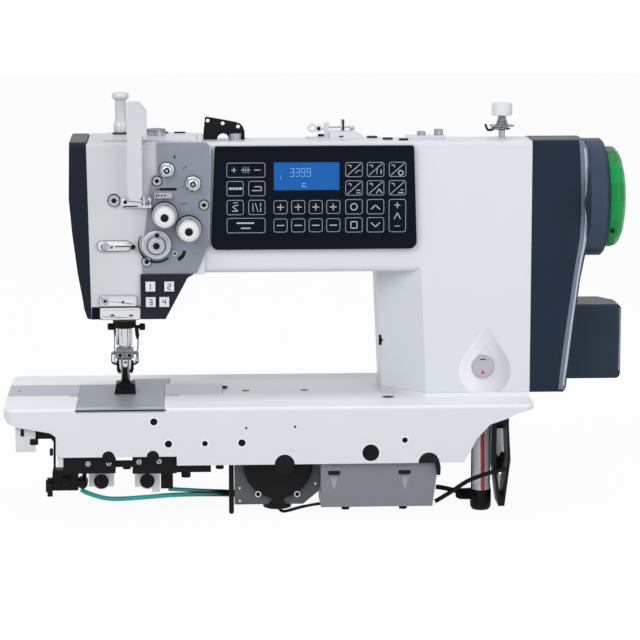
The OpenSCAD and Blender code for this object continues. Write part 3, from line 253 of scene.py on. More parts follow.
# nodes whose look differs from the common finish of their slot
NODES = {
    "solenoid": "solenoid enamel", "finger_guard": "zinc plate", "needle_clamp": "clamp steel",
    "air_valves": "zinc plate", "face_cover": "face cover navy", "motor_housing": "motor ring navy",
    "control_box": "control box navy", "slide_plate_left": "slide plate",
    "slide_plate_right": "slide plate", "needle_plate": "throat plate", "take_up_guard": "guard white",
    "oil_tube": "tube wall", "springs": "spring steel", "oil_window": "window pearl",
    "bed": "bed enamel", "bed_skirt": "skirt enamel",
}
CLOUD_DETAIL, GRAIN_DETAIL = 4, 2   # octaves of the two noises
BUMP_DEPTH = 0.0004                 # height of the grain in metres
COAT_ROUGHNESS = 0.08
THIN_WALL_IOR = 1.2


def linear(rgb):
    """Linear colour of an 8-bit display colour."""
    c = np.array(rgb, float) / 255
    c = np.where(c <= 0.04045, c / 12.92, ((c + 0.055) / 1.055) ** 2.4)
    return (*map(float, c), 1)


def shade(name):
    """8-bit display colour of a property of HeadColours."""
    return [c * 255 for c in getattr(bpy.context.scene.sewing_colours, name)]


def maths(tree, operation, *values):
    """Result of a maths node whose inputs are sockets or numbers."""
    node = tree.nodes.new("ShaderNodeMath")
    node.operation = operation
    for slot, value in enumerate(values):
        if isinstance(value, (int, float)):
            node.inputs[slot].default_value = value
        else:
            tree.links.new(value, node.inputs[slot])
    return node.outputs[0]


def finish(name, rgb, rough=0.4, metal=0, mottle=0.06, scale=60, bump=0.05, fine=900,
           coat=0, spread=0.08, round_edge=0, spec=0.4, stretch=(1, 1, 1), alpha=1):
    """Material with a cloudy colour, uneven gloss and a fine bump, all from noise in object space."""
    m = bpy.data.materials.new(name)
    m.use_nodes = True
    n, link = m.node_tree.nodes, m.node_tree.links
    n.clear()
    out = n.new("ShaderNodeOutputMaterial")
    bsdf = n.new("ShaderNodeBsdfPrincipled")
    link.new(bsdf.outputs[0], out.inputs[0])
    pos = n.new("ShaderNodeTexCoord")
    turn = n.new("ShaderNodeMapping")
    turn.inputs["Scale"].default_value = stretch
    link.new(pos.outputs["Object"], turn.inputs["Vector"])
    clouds = []
    for size, detail in ((scale, CLOUD_DETAIL), (fine, GRAIN_DETAIL)):
        noise = n.new("ShaderNodeTexNoise")
        noise.inputs["Scale"].default_value = size
        noise.inputs["Detail"].default_value = detail
        link.new(turn.outputs[0], noise.inputs["Vector"])
        clouds.append(noise.outputs["Fac"])
    cloud, grain = clouds
    base = np.array(linear(rgb)[:3])
    mix = n.new("ShaderNodeMix")
    mix.data_type = "RGBA"
    mix.inputs["A"].default_value = (*np.clip(base * (1 - mottle), 0, 1), 1)
    mix.inputs["B"].default_value = (*np.clip(base * (1 + mottle), 0, 1), 1)
    link.new(cloud, mix.inputs["Factor"])
    link.new(mix.outputs["Result"], bsdf.inputs["Base Color"])
    gloss = n.new("ShaderNodeMapRange")
    gloss.inputs["To Min"].default_value = max(rough - spread, 0.02)
    gloss.inputs["To Max"].default_value = min(rough + spread, 1)
    link.new(cloud, gloss.inputs["Value"])
    link.new(gloss.outputs[0], bsdf.inputs["Roughness"])
    relief = n.new("ShaderNodeBump")
    relief.inputs["Strength"].default_value = bump
    relief.inputs["Distance"].default_value = BUMP_DEPTH
    link.new(grain, relief.inputs["Height"])
    if round_edge:
        soft = n.new("ShaderNodeBevel")
        soft.samples = 4
        soft.inputs["Radius"].default_value = round_edge * MM
        link.new(soft.outputs[0], relief.inputs["Normal"])
    link.new(relief.outputs[0], bsdf.inputs["Normal"])
    bsdf.inputs["Metallic"].default_value = metal
    bsdf.inputs["Coat Weight"].default_value = coat
    bsdf.inputs["Coat Roughness"].default_value = COAT_ROUGHNESS
    if alpha < 1:
        bsdf.inputs["Transmission Weight"].default_value = 1 - alpha
        bsdf.inputs["IOR"].default_value = THIN_WALL_IOR
    bsdf.inputs["Specular IOR Level"].default_value = spec
    return m


def parts_of(m):
    """Surface node of a finish and the separated object coordinates, as a new node."""
    n = m.node_tree.nodes
    split = n.new("ShaderNodeSeparateXYZ")
    pos = next(k for k in n if k.type == "TEX_COORD")
    m.node_tree.links.new(pos.outputs["Object"], split.inputs[0])
    return next(k for k in n if k.type == "BSDF_PRINCIPLED"), split.outputs


def blend(m, bsdf, amount, first, second):
    """Makes the base colour a mix of two colours or sockets by the amount."""
    mix = m.node_tree.nodes.new("ShaderNodeMix")
    mix.data_type = "RGBA"
    m.node_tree.links.new(amount, mix.inputs[0])
    ends = [k for k in mix.inputs if k.type == "RGBA"]
    for end, value in zip(ends, (first, second)):
        if isinstance(value, tuple):
            end.default_value = value
        else:
            m.node_tree.links.new(value, end)
    result = next(k for k in mix.outputs if k.type == "RGBA")
    m.node_tree.links.new(result, bsdf.inputs["Base Color"])


def graded(m, axis, start, stop, rgb, also=None):
    """Lets the base colour of a finish drift to another colour along one axis, in metres. The drift
    can be held back by a second ramp, given as (axis, start, stop)."""
    bsdf, place = parts_of(m)

    def ramp(axis, start, stop):
        """Runs from 0 at the start to 1 at the stop."""
        along = m.node_tree.nodes.new("ShaderNodeMapRange")
        along.inputs["From Min"].default_value = start
        along.inputs["From Max"].default_value = stop
        m.node_tree.links.new(place[axis], along.inputs["Value"])
        return along.outputs[0]

    amount = ramp(axis, start, stop)
    if also:
        amount = maths(m.node_tree, "MULTIPLY", amount, ramp(*also))
    blend(m, bsdf, amount, bsdf.inputs["Base Color"].links[0].from_socket, linear(rgb))


def faceted(m):
    """Gives the broad facets of the handwheel slightly different shades, painted light and shade for how
    each facet catches the light: the angle about the shaft is counted in facets and each one gets its own
    shade."""
    tree = m.node_tree
    bsdf, place = parts_of(m)
    height = maths(tree, "SUBTRACT", place["Z"], SHAFT_Z * MM)
    turn = maths(tree, "ARCTAN2", height, place["Y"])
    face = maths(tree, "FLOOR", maths(tree, "MULTIPLY", turn, sizes().wheel_facets / (2 * math.pi)))
    noise = tree.nodes.new("ShaderNodeTexWhiteNoise")
    noise.noise_dimensions = "1D"
    tree.links.new(face, noise.inputs["W"])
    blend(m, bsdf, noise.outputs["Value"], linear(shade("wheel_dark")), linear(shade("wheel_light")))


def look(name):
    """The finish of that name, made at its first use from its row in LOOKS."""
    m = bpy.data.materials.get(name)
    if m:
        return m
    rgb, *rest = LOOKS[name]
    if isinstance(rgb, str):
        rgb = shade(rgb)
    m = finish(name, rgb, *rest, stretch=BRUSHED.get(name, (1, 1, 1)), alpha=SEE_THROUGH.get(name, 1))
    for row in DRIFT.get(name, ()):
        graded(m, *row)
    if name == "wheel green":
        faceted(m)
    return m


# ---- surfaces

SAME_POINT = 1e-6   # rows closer than this, in millimetres, are the same row
WELD = 1e-7         # points closer than this, in metres, become one
AXES = {
    "front": ((1, 0, 0), (0, 0, 1), (0, -1, 0)),
    "top": ((1, 0, 0), (0, 1, 0), (0, 0, 1)),
    "right": ((0, 1, 0), (0, 0, 1), (1, 0, 0)),
    "left": ((0, 1, 0), (0, 0, 1), (-1, 0, 0)),
}


def rows_to_faces(rows, cols, start, capped):
    """Quads between neighbouring rows of points; each row closes into a ring, the ends get caps."""
    r = np.arange(rows - 1)[:, None]
    c = np.arange(cols)[None, :]
    a = r * cols + c
    b = r * cols + (c + 1) % cols
    faces = (np.stack([a, b, b + cols, a + cols], -1).reshape(-1, 4) + start).tolist()
    if capped:
        faces.append((np.arange(cols)[::-1] + start).tolist())
        faces.append((np.arange(cols) + (rows - 1) * cols + start).tolist())
    return faces


def make(name, slot, shells, body="machine_frame", dress=None, smooth=35):
    """One object from closed shells. A shell is a grid of points in millimetres, rows x columns x 3,
    whose rows are rings; its ends are capped unless the last row meets the first. A tube given as
    (grid, False) keeps its ends open. Normals point outwards, edges sharper than the smooth angle in
    degrees stay sharp."""
    verts, faces, start = [], [], 0
    for shell in shells:
        grid, capped = shell if isinstance(shell, tuple) else (shell, True)
        rows, cols = grid.shape[:2]
        capped = capped and not np.allclose(grid[0], grid[-1], 0, SAME_POINT)
        faces += rows_to_faces(rows, cols, start, capped)
        verts.append(grid.reshape(-1, 3))
        start += rows * cols
    mesh = bpy.data.meshes.new(name)
    mesh.from_pydata((np.concatenate(verts) * MM).tolist(), [], faces)
    bm = bmesh.new()
    bm.from_mesh(mesh)
    bmesh.ops.remove_doubles(bm, verts=bm.verts, dist=WELD)
    bmesh.ops.recalc_face_normals(bm, faces=bm.faces)
    bm.to_mesh(mesh)
    bm.free()
    mesh.polygons.foreach_set("use_smooth", np.ones(len(mesh.polygons), bool))
    mesh.set_sharp_from_angle(angle=math.radians(smooth))
    obj = bpy.data.objects.new(name, mesh)
    bpy.context.scene.collection.objects.link(obj)
    mesh.materials.append(look(dress or SLOTS[slot]))
    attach(obj, body)
    return obj


def moulded(outline, levels, side="front", at=(0, 0, 0)):
    """Outline carried through levels (inset, height): each level is the outline moved inwards
    along its own normal by the inset and lifted by the height towards the named side."""
    p = np.asarray(outline, float)
    t = np.roll(p, -1, 0) - np.roll(p, 1, 0)
    t /= np.linalg.norm(t, axis=1, keepdims=True)
    nrm = np.stack([t[:, 1], -t[:, 0]], 1)
    area = np.sum(p[:, 0] * np.roll(p[:, 1], -1) - p[:, 1] * np.roll(p[:, 0], -1))
    nrm *= np.sign(area)
    lv = np.asarray(levels, float)
    flat = p[None] - lv[:, 0, None, None] * nrm[None]
    u, v, w = (np.array(a, float) for a in AXES[side])
    return (flat[..., :1] * u + flat[..., 1:] * v + lv[:, 1, None, None] * w
            + np.array(at, float))


def rounded(w, h, r, n=6, centre=(0, 0)):
    """Rounded rectangle: four quarter circles joined by straight sides."""
    a = np.linspace(0, math.pi / 2, n + 1)
    arc = np.stack([np.cos(a), np.sin(a)], 1) * r
    out = []
    for k, (sx, sy) in enumerate(((1, 1), (-1, 1), (-1, -1), (1, -1))):
        c, s = math.cos(k * math.pi / 2), math.sin(k * math.pi / 2)
        out.append(arc @ np.array([[c, s], [-s, c]]) + [sx * (w / 2 - r), sy * (h / 2 - r)])
    return np.concatenate(out) + centre


def disc_outline(r, n=40, centre=(0, 0)):
    """Circle."""
    a = np.linspace(0, 2 * math.pi, n, endpoint=False)
    return np.stack([np.cos(a) * r, np.sin(a) * r], 1) + centre


def filleted(points, radii, n=5):
    """Polygon whose corners are replaced by smooth arcs of about the given radii."""
    p = np.asarray(points, float)
    r = np.broadcast_to(np.asarray(radii, float), (len(p),))
    out = []
    for i in range(len(p)):
        a, b, c = p[i - 1], p[i], p[(i + 1) % len(p)]
        if r[i] <= 0:
            out.append(b[None])
            continue
        d0, d1 = (a - b) / np.linalg.norm(a - b), (c - b) / np.linalg.norm(c - b)
        half = math.acos(np.clip(d0 @ d1, -1, 1)) / 2
        reach = min(r[i] / math.tan(half), 0.49 * np.linalg.norm(a - b), 0.49 * np.linalg.norm(c - b))
        s = np.linspace(0, 1, n + 1)[:, None]
        q0, q1 = b + d0 * reach, b + d1 * reach
        out.append((1 - s) ** 2 * q0 + 2 * s * (1 - s) * b + s ** 2 * q1)
    return np.concatenate(out)


def turned(profile, side, at, n=48, flutes=0, depth=0):
    """Profile of (radius, height) turned about an axis; flutes shrink the radius by a cosine wave."""
    pr = np.asarray(profile, float)
    a = np.linspace(0, 2 * math.pi, n, endpoint=False)
    wave = 1 - depth * (0.5 - 0.5 * np.cos(flutes * a)) if flutes else np.ones(n)
    u, v, w = (np.array(x, float) for x in AXES[side])
    r = pr[:, :1] * wave[None]
    return ((r * np.cos(a))[..., None] * u + (r * np.sin(a))[..., None] * v
            + pr[:, 1, None, None] * w + np.array(at, float))


def boss(x, z, n, profile, flutes=0, depth=0):
    """Turned part that faces the operator: (radius, distance in front of the needle line)."""
    return turned(profile, "front", (x, 0, z), n, flutes, depth)


def post(x, y, n, profile, flutes=0, depth=0):
    """Turned part that stands upright: (radius, height above the bed)."""
    return turned(profile, "top", (x, y, 0), n, flutes, depth)


def plate(points, radii, levels, y=0):
    """Plate that faces the operator, from a polygon with rounded corners."""
    return moulded(filleted(points, radii), levels, at=(0, y, 0))


def pad(x, z, w, h, r, n, levels, y=0):
    """Rounded rectangle that faces the operator, centred on (x, z)."""
    return moulded(rounded(w, h, r, n, (x, z)), levels, at=(0, y, 0))


def smooth_path(points, steps=8):
    """Catmull-Rom curve through the points."""
    p = np.asarray(points, float)
    q = np.concatenate([2 * p[:1] - p[1:2], p, 2 * p[-1:] - p[-2:-1]])
    t = np.linspace(0, 1, steps, endpoint=False)[None, :, None]
    a, b, c, d = (q[i:len(q) - 3 + i][:, None] for i in range(4))
    seg = 0.5 * (2 * b + (c - a) * t + (2 * a - 5 * b + 4 * c - d) * t ** 2
                 + (3 * b - 3 * c + d - a) * t ** 3)
    return np.concatenate([seg.reshape(-1, 3), p[-1:]])


def wire(path, radius, n=12, up=(0, 1, 0)):
    """Circle carried along a path; the frame at each point comes from the tangent and a fixed
    direction. Radius may vary along the path."""
    p = np.asarray(path, float)
    t = np.gradient(p, axis=0)
    t /= np.linalg.norm(t, axis=1, keepdims=True)
    a = np.cross(t, np.array(up, float))
    a /= np.linalg.norm(a, axis=1, keepdims=True)
    b = np.cross(t, a)
    th = np.linspace(0, 2 * math.pi, n, endpoint=False)
    rad = np.broadcast_to(np.asarray(radius, float), (len(p),))[:, None, None]
    return (p[:, None] + rad * (np.cos(th)[None, :, None] * a[:, None]
                                + np.sin(th)[None, :, None] * b[:, None]))


def arc_path(centre, radius, start, end, y, n):
    """Points of a circular arc facing the operator, angles in degrees."""
    a = np.radians(np.linspace(start, end, n))
    return np.stack([centre[0] + radius * np.cos(a), np.full_like(a, y), centre[1] + radius * np.sin(a)], 1)


def stroke(a, b, w):
    """Outline of a straight stroke of width w with rounded ends."""
    a, b = np.array(a, float), np.array(b, float)
    ang = math.atan2(*(b - a)[::-1])
    t = np.linspace(math.pi / 2, 3 * math.pi / 2, 7)
    cap = np.stack([np.cos(t), np.sin(t)], 1) * w / 2
    c, s = math.cos(ang), math.sin(ang)
    rot = np.array([[c, s], [-s, c]])
    return np.concatenate([cap @ rot + a, -cap @ rot + b])


def strokes(rows):
    """Strokes out of rows of a width and the points to be joined in turn."""
    return [stroke(a, b, w) for w, *points in rows for a, b in zip(points[:-1], points[1:])]


def film(outlines, y=FILM_Y, h=0.16, side="front"):
    """Thin raised marks from a list of outlines."""
    return [moulded(o, [(0, -0.05), (0, h * 0.6), (0.08, h)], side, (0, y, 0)) for o in outlines]


def ring_mark(outline, width, h=0.16, y=FILM_Y):
    """Raised line round a closed outline: a rectangle section carried round it."""
    section = [(0, -0.05), (0, h), (width, h), (width, -0.05), (0, -0.05)]
    return moulded(outline, section, "front", (0, y, 0))


# ---- panel

BARS = {"a": ((0, 1), (1, 1)), "b": ((1, 0.5), (1, 1)), "c": ((1, 0), (1, 0.5)), "d": ((0, 0), (1, 0)),
        "e": ((0, 0), (0, 0.5)), "f": ((0, 0.5), (0, 1)), "g": ((0, 0.5), (1, 0.5))}
# left edge, lower edge, width and height of every key
KEYS = ([(101.5, 219.8, 37.5, 14.4), (101.5, 165.5, 37.5, 14.7)]
        + [(x, z, 16.4, 14.6) for x in (101.5, 122.6) for z in (201.7, 183.3)]
        + [(x, z, 13.4, 13.4) for x in (147.1, 164.3, 181.4, 198.5) for z in (166, 183.9)]
        + [(x, 219.8, 16.8, 14.4) for x in (217, 238, 259.4)]
        + [(x, z, 16.8, 14.6) for x in (217, 238) for z in (201.7, 183.3, 165.5)]
        + [(259.4, 201.7, 16.8, 14.6), (259.4, 165.5, 16.8, 32.4)])
# lines of the key symbols: width and the points that the line joins
SYMBOLS = [
    # plus and minus of the figure keys
    *(row for x in (153.8, 171, 188.1, 205.2) for row in (
        (0.9, (x - 3, 190.6), (x + 3, 190.6)), (0.9, (x, 187.6), (x, 193.6)),
        (0.9, (x - 3.3, 172.7), (x + 3.3, 172.7)))),
    # wide keys of the left group
    (0.8, (106.6, 227), (110.6, 227)), (0.8, (108.6, 225), (108.6, 229)),
    (0.8, (128.6, 227), (134, 227)), (0.5, (115.6, 227), (124.4, 227)),
    *((0.5, (x, 224.2), (x, 229.8)) for x in (117.6, 120, 122.4)),
    *((1.5, (111.6 + 3.4 * i, 175.2), (113.8 + 3.4 * i, 175.2)) for i in range(5)),
    (1.1, (115.6, 170.2), (124.2, 170.2)),
    # small keys of the left group
    *((2.2, (104.6 + 3 * i, 209), (106.6 + 3 * i, 209)) for i in range(4)),
    (0.8, (126.4, 207), (135.2, 207), (135.2, 210.8), (128.6, 210.8)),
    (0.8, (107, 187), (112.4, 187), (107, 191.4), (112.4, 193)), (0.6, (107.6, 195), (112, 195.4)),
    (0.6, (127, 186.4), (127, 194.4)), (0.6, (129.4, 194.6), (131.8, 186.4)),
    (0.8, (134.4, 186.6), (134.4, 190)), (0.8, (134.4, 192), (134.4, 194.6)),
    # divided keys of the right group
    *(row for x in (217, 238, 259.4) for z in (219.8, 201.7) for row in (
        (0.6, (x + 2, z + 1.6), (x + 14.8, z + 12.8)),
        (0.7, (x + 2.6, z + 11.4), (x + 5.4, z + 11.4), (x + 5.4, z + 9.4)))),
    (0.6, (226.6, 223.4), (229.2, 226), (232, 226)), (0.6, (247.4, 222.6), (248.2, 227.4)),
    (0.9, (251.8, 223), (251.8, 226.6)),
    *((1, (228.2 + 2.2 * i, 204.2 + 2.4 * j), (229 + 2.2 * i, 204.2 + 2.4 * j))
      for i in range(2) for j in range(2)),
    (0.9, (247.4, 204), (250, 208), (252.6, 204)), (0.9, (268.8, 204.2), (273.4, 204.2)),
    (0.7, (271, 207), (273.6, 207)),
    # square, arrows, plus, pointer and bar
    (0.9, (222.4, 169.6), (228.4, 169.6), (228.4, 176), (222.4, 176), (222.4, 169.6)),
    (0.9, (242.2, 188.2), (246.4, 192.2), (250.6, 188.2)),
    (0.9, (242.2, 174.8), (246.4, 170.8), (250.6, 174.8)), (0.8, (265.2, 192), (270.4, 192)),
    (0.8, (267.8, 189.4), (267.8, 194.6)), (0.8, (264.8, 178.6), (267.8, 184.4), (270.8, 178.6)),
    (0.7, (265.6, 171.4), (270, 171.4)),
]


def figure(bars, x, z, w, h, line):
    """Strokes of a figure made of bars in a box whose lower left corner is (x, z)."""
    return [stroke((x + w * p, z + h * q), (x + w * r, z + h * t), line)
            for (p, q), (r, t) in (BARS[k] for k in bars)]


def panel_marks():
    """Key outlines, key symbols and screen figures, raised a little over the panel."""
    make("key_outlines", "panel_film", [
        ring_mark(rounded(w, h, sizes().key_corner / MM, 5, (x + w / 2, z + h / 2)), sizes().key_line / MM)
        for x, z, w, h in KEYS], dress="key print")
    make("key_symbols", "panel_film", film(strokes(SYMBOLS)) + [
        ring_mark(disc_outline(3.6, 28, (225.4, 190.6)), 0.9),
        ring_mark(disc_outline(2.7, 24, (271, 223.6)), 0.9)], dress="key symbols")
    lit = [s for i, bars in enumerate(("abcdg", "abcdg", "abcdfg", "abcdfg"))
           for s in figure(bars, 163.4 + 5.4 * i, 220.6, 3.4, 7.6, 0.55)]
    lit += strokes([(0.7, (178, 213.6), (175, 213.6), (175, 210.6), (178.4, 210.6)),
                    (0.4, (153.6, 217.6), (154.6, 221.6))])
    make("screen_figures", "display_film", film(lit, -51.85, 0.12), dress="screen figures")


# ---- head

KNOBS = {"tension_nut_left": (41.2, 184.6, "left_nut"), "tension_nut_right": (64.5, 171, "right_nut")}
STUDS = ((43.6, 227.7), (68.9, 214.4))


def tension_group():
    """Thumb nuts, discs, springs and guides of the thread tension group."""
    for node, (x, z, body) in KNOBS.items():
        obj = make(node + "_shell", "white_plastic", [boss(x, z, 96, [
            (3.05, 69.2), (9.2, 69), (10.2, 69.6), (10.5, 71), (10.5, 79.6), (10.2, 81.6), (9.4, 83.4),
            (8, 84.5), (6.2, 85), (4.2, 84.9), (3.8, 84.3), (3.05, 84), (3.05, 69.2)],
            sizes().nut_flutes, 0.02)], body, smooth=50)
        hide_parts(node)
        make(node + "_core", "black", [boss(x, z, 40, [
            (3.05, 83.4), (3.7, 83.6), (3.75, 84.9), (3.3, 84.98), (3.05, 84.4), (3.05, 83.4)])], body)
    make("tension_discs", "steel", [
        boss(x, z, 56, [(3, y), (6, y + 0.2 * s), (9.6, y + 0.9 * s), (12, y + 2 * s),
                        (12.3, y + 1.9 * s), (9.8, y + 0.4 * s), (6, y - 0.3 * s), (3, y - 0.5 * s)])
        for x, z, _ in KNOBS.values() for y, s in ((59.4, 1), (63, -1))], dress="dark steel")
    # black rings behind the tension discs, painted as their shadows, black rings behind the pre-tension
    # heads and the black ends of the posts
    shadow_rings_and_ends = [boss(x, z, n, profile) for x, z, _ in KNOBS.values() for n, profile in (
        (32, [(2.95, 83.9), (2.95, 84.6), (2.4, 84.9)]),
        (48, [(7.2, 52.1), (12.6, 52.1), (12.8, 53.4), (11.6, 57.4), (7.2, 57.6)]))]
    shadow_rings_and_ends += [boss(x, z, n, profile) for x, z in STUDS for n, profile in (
        (40, [(7.5, 52.1), (7.8, 53.2), (6.4, 53.6), (2.7, 53.6)]),
        (36, [(1.5, 62), (1.5, 62.75), (2.7, 62.7), (2.9, 62), (1.5, 62)]))]
    shadow_rings_and_ends.append(boss(*DISC, 36, [(0.3, 63), (3.4, 63), (3.4, 65.9), (3, 66.45), (0.3, 66.5)]))
    make("tension_felts", "black", shadow_rings_and_ends)
    # guard ring round the large disc, thickest in its middle
    n = 48
    thickness = np.interp(np.linspace(0, 1, n), [0, 0.5, 1], [0.45, 1, 0.7])
    make("spring_guard", "black", [wire(arc_path(DISC, 17.4, 150, 312, -53.4, n), thickness)])
    # dished face, hub and socket of the large disc
    make("check_disc_face", "steel", [
        boss(*DISC, 56, [(7, 61), (9.4, 61.1), (12.2, 61.6), (12.6, 61.2), (12.4, 60.6), (7, 60.6)]),
        boss(*DISC, 40, [(3.3, 66), (6.2, 66.1), (7, 65.4), (7.05, 61), (3.3, 61)])], "guide_disc")
    make("check_disc_marks", "black", [
        boss(33.6, 165, 24, [(2.3, 60.8), (2.3, 61.5), (1.8, 61.7)]),
        boss(*DISC, 56, [(8.6, 61), (8.9, 61.35), (9.3, 61.4), (9.5, 61.1), (8.6, 61)])], "guide_disc")
    # domed heads of the pre-tension guides
    make("pretension_heads", "chrome", [boss(x, z, 48, profile) for x, z in STUDS for profile in (
        [(6.9, 55.8), (7.1, 56.6), (6, 57.2), (5.2, 58.6), (5, 61), (4.2, 62.3), (3.2, 62.6),
         (2.6, 61.9), (1.6, 61.7)],
        [(7, 54), (7.2, 54.5), (6.9, 55), (3, 55.2)])])
    make("eyelet_block", "steel", [
        pad(40, 203, 17, 5.2, 1, 4, [(0, 0), (0, 3.6), (0.5, 4)], PLATE_Y - 0.05)])
    bow = np.concatenate([arc_path((50.6, 148.8), 11.2, -2, -72, 0, 12),
                          arc_path((50.9, 149.4), 7.6, -72, -6, 0, 12)])[:, [0, 2]]
    eyes = [disc_outline(0.9, 16, (35.4 + 3.2 * i, 203.2)) for i in range(3)]
    make("plate_marks", "black",
         film(eyes + [stroke((33.4, 201.6), (33.4, 204.4), 1)], -56.1, 0.2)
         + film([stroke((37.6, 208.65), (52, 208.65), 2.4), stroke((33, 208.7), (37, 208.7), 0.7)],
                HEAD_Y - 0.05, 0.6)
         + film([stroke((51.2, 241.4), (51.3, 239.2), 1.5)], PLATE_Y, 0.12)
         + film([bow], PLATE_Y, 0.14))
    make("plate_smudges", "plate_silver", film(
        [stroke((56.4, 194.4), (63, 195), 1.5), stroke((59.4, 228.8), (62.6, 231.2), 1.6)],
        PLATE_Y, 0.1), dress="soft mark")
    # folded rim of the plate with its highlights
    y = PLATE_Y + 0.1
    make("plate_rim", "plate_silver", [
        wire(smooth_path([(34.6, y, 254.2), (58, y, 254.3), (79, y, 254.2), (83.4, y, 252.6),
                          (85.6, y, 249.2), (86.1, y, 244)]), 0.5, 10, (0, 1, 0.01)),
        wire([(86.1, y, 244), (85.3, y, 204), (84.2, y, 157.6)], 0.35, 10)], dress="rim highlight")


def needle_zone():
    """Collar, guide pins, side knobs, guard wires and clamp details round the needle bar."""
    make("bar_collar", "black", [
        (post(0, 0, 56, [(4.3, 64.6), (9.6, 64.6), (11.3, 65.4), (11.6, 67), (11.6, 72.6), (4.3, 72.9)]),
         False),
        turned([(0.4, 9.4), (3, 9.8), (3.4, 11), (3.4, 15.6), (2.8, 16.6), (1.6, 16.9), (0.4, 17)],
               "left", (0, -2, 66), 32),
        turned([(0.4, 10), (1.8, 10.4), (1.8, 14.6), (3.2, 15), (3.5, 16), (3.5, 19.4), (2.8, 20.4),
                (0.4, 20.7)], "right", (0, -2, 65.6), 32),
        plate([(9.8, 66), (13.6, 66), (14.6, 57), (13.8, 53.4), (11.8, 53.2), (10.6, 58)], 0.9,
              [(0, -1.6), (0, 1.6), (0.4, 2)], -2),
        plate([(-11, 66), (-8.6, 66), (-8.8, 56), (-10.4, 55.4)], 0.6, [(0, -1.2), (0, 1.2)], -2),
        post(0, 0, 48, [(8.03, 72.7), (9.6, 72.9), (10.4, 76), (10.4, 80.7), (8.03, 80.9), (8.03, 72.7)]),
        post(*PRESSER, 48, [(7.03, 71.6), (7.7, 71.9), (8.4, 76), (8.4, 80.7), (7.03, 80.9),
                            (7.03, 71.6)])], smooth=40)
    # dark band along the bottom of the head
    make("head_band", "panel_film", [
        pad(-7, 87.2, 47.6, 12.2, 0.8, 3, [(0, -0.2), (0, 0.4), (0.3, 0.6)], HEAD_Y)])
    make("guide_pins", "chrome", [post(x, 9.4, 28, [(r * 0.7, 45.6), (r, 46.4), (r, 68)])
                                  for x, r in ((-7.2, 1.7), (5.6, 2))])
    guard = sizes().guard_wire / MM
    make("guard_wires", "steel", [
        wire(smooth_path([(13.2, -2, 55), (13.3, -4, 50), (12.6, -7, 42), (11.2, -9.2, 34),
                          (10.8, -9.6, 30.4)]), guard, 12, (1, 0, 0)),
        wire(smooth_path([(-9.8, -2, 62), (-9.9, -5, 54), (-9.9, -9.4, 42), (-9.8, -10, 30.4)]),
             guard - 0.1, 12, (1, 0, 0))], dress="dark steel")
    make("guard_feet", "black", [wire(smooth_path(points, 6), 1) for points in (
        [(-12.6, -9.8, 31.4), (-10.4, -10, 29.8), (-7, -10, 29.4)],
        [(6.6, -9.8, 29.2), (10.4, -9.8, 29.6), (13.2, -9.6, 31.6)])])
    # grooves and screws of the needle clamp
    make("clamp_face", "steel", [plate(
        [(-9, 34.4), (9, 34.4), (9.2, 40), (7.4, 44.4), (0.6, 44.6), (0, 43.4), (-0.6, 44.6),
         (-7.4, 44.4), (-9.2, 40)], 0.8, [(0, 6.4), (0, 7), (0.5, 7.4)])],
         "needle_bar_set", "clamp steel")
    make("clamp_marks", "black", film(
        [stroke((0, 35), (0, 43.2), 0.5), stroke((-8.4, 40.4), (8.4, 40.4), 0.35)], -7.4, 0.12)
        + [boss(x, 37.6, 24, [(1.7, 7.2), (1.7, 8), (1.3, 8.3), (0.7, 8.3), (0.6, 7.7)])
           for x in (-4.6, 4.6)], "needle_bar_set")
    # plates and ears beside the ankle, moving with the foot
    make("foot_plates", "chrome", [
        plate([(s * 3.4, 31), (s * 6.2, 31), (s * 5.6, 22), (s * 3.6, 17.8)][::s], 0.7,
              [(0, -7.6), (0, -7), (0.2, -6.8)]) for s in (-1, 1)]
        + [plate([(-3.3, 31), (3.3, 31), (2.9, 24.4), (0, 22.6), (-2.9, 24.4)], 0.5,
                 [(0, -7.7), (0, -7.1), (0.2, -6.95)])], "presser")
    make("foot_ears", "black", [
        plate([(s * 6.2, 30.6), (s * 8.8, 29.4), (s * 8.4, 20), (s * 5.8, 15)][::s], 0.6,
              [(0, -8), (0, -7)]) for s in (-1, 1)]
        + [boss(0.3, 28.2, 20, [(1.2, -7.2), (1.2, -6.85), (0.6, -6.8)]),
           (post(*PRESSER, 32, [(4.6, 33.9), (5.6, 34.1), (5.8, 35), (5.4, 36.4), (4.6, 36.6)]), False)],
        "presser")


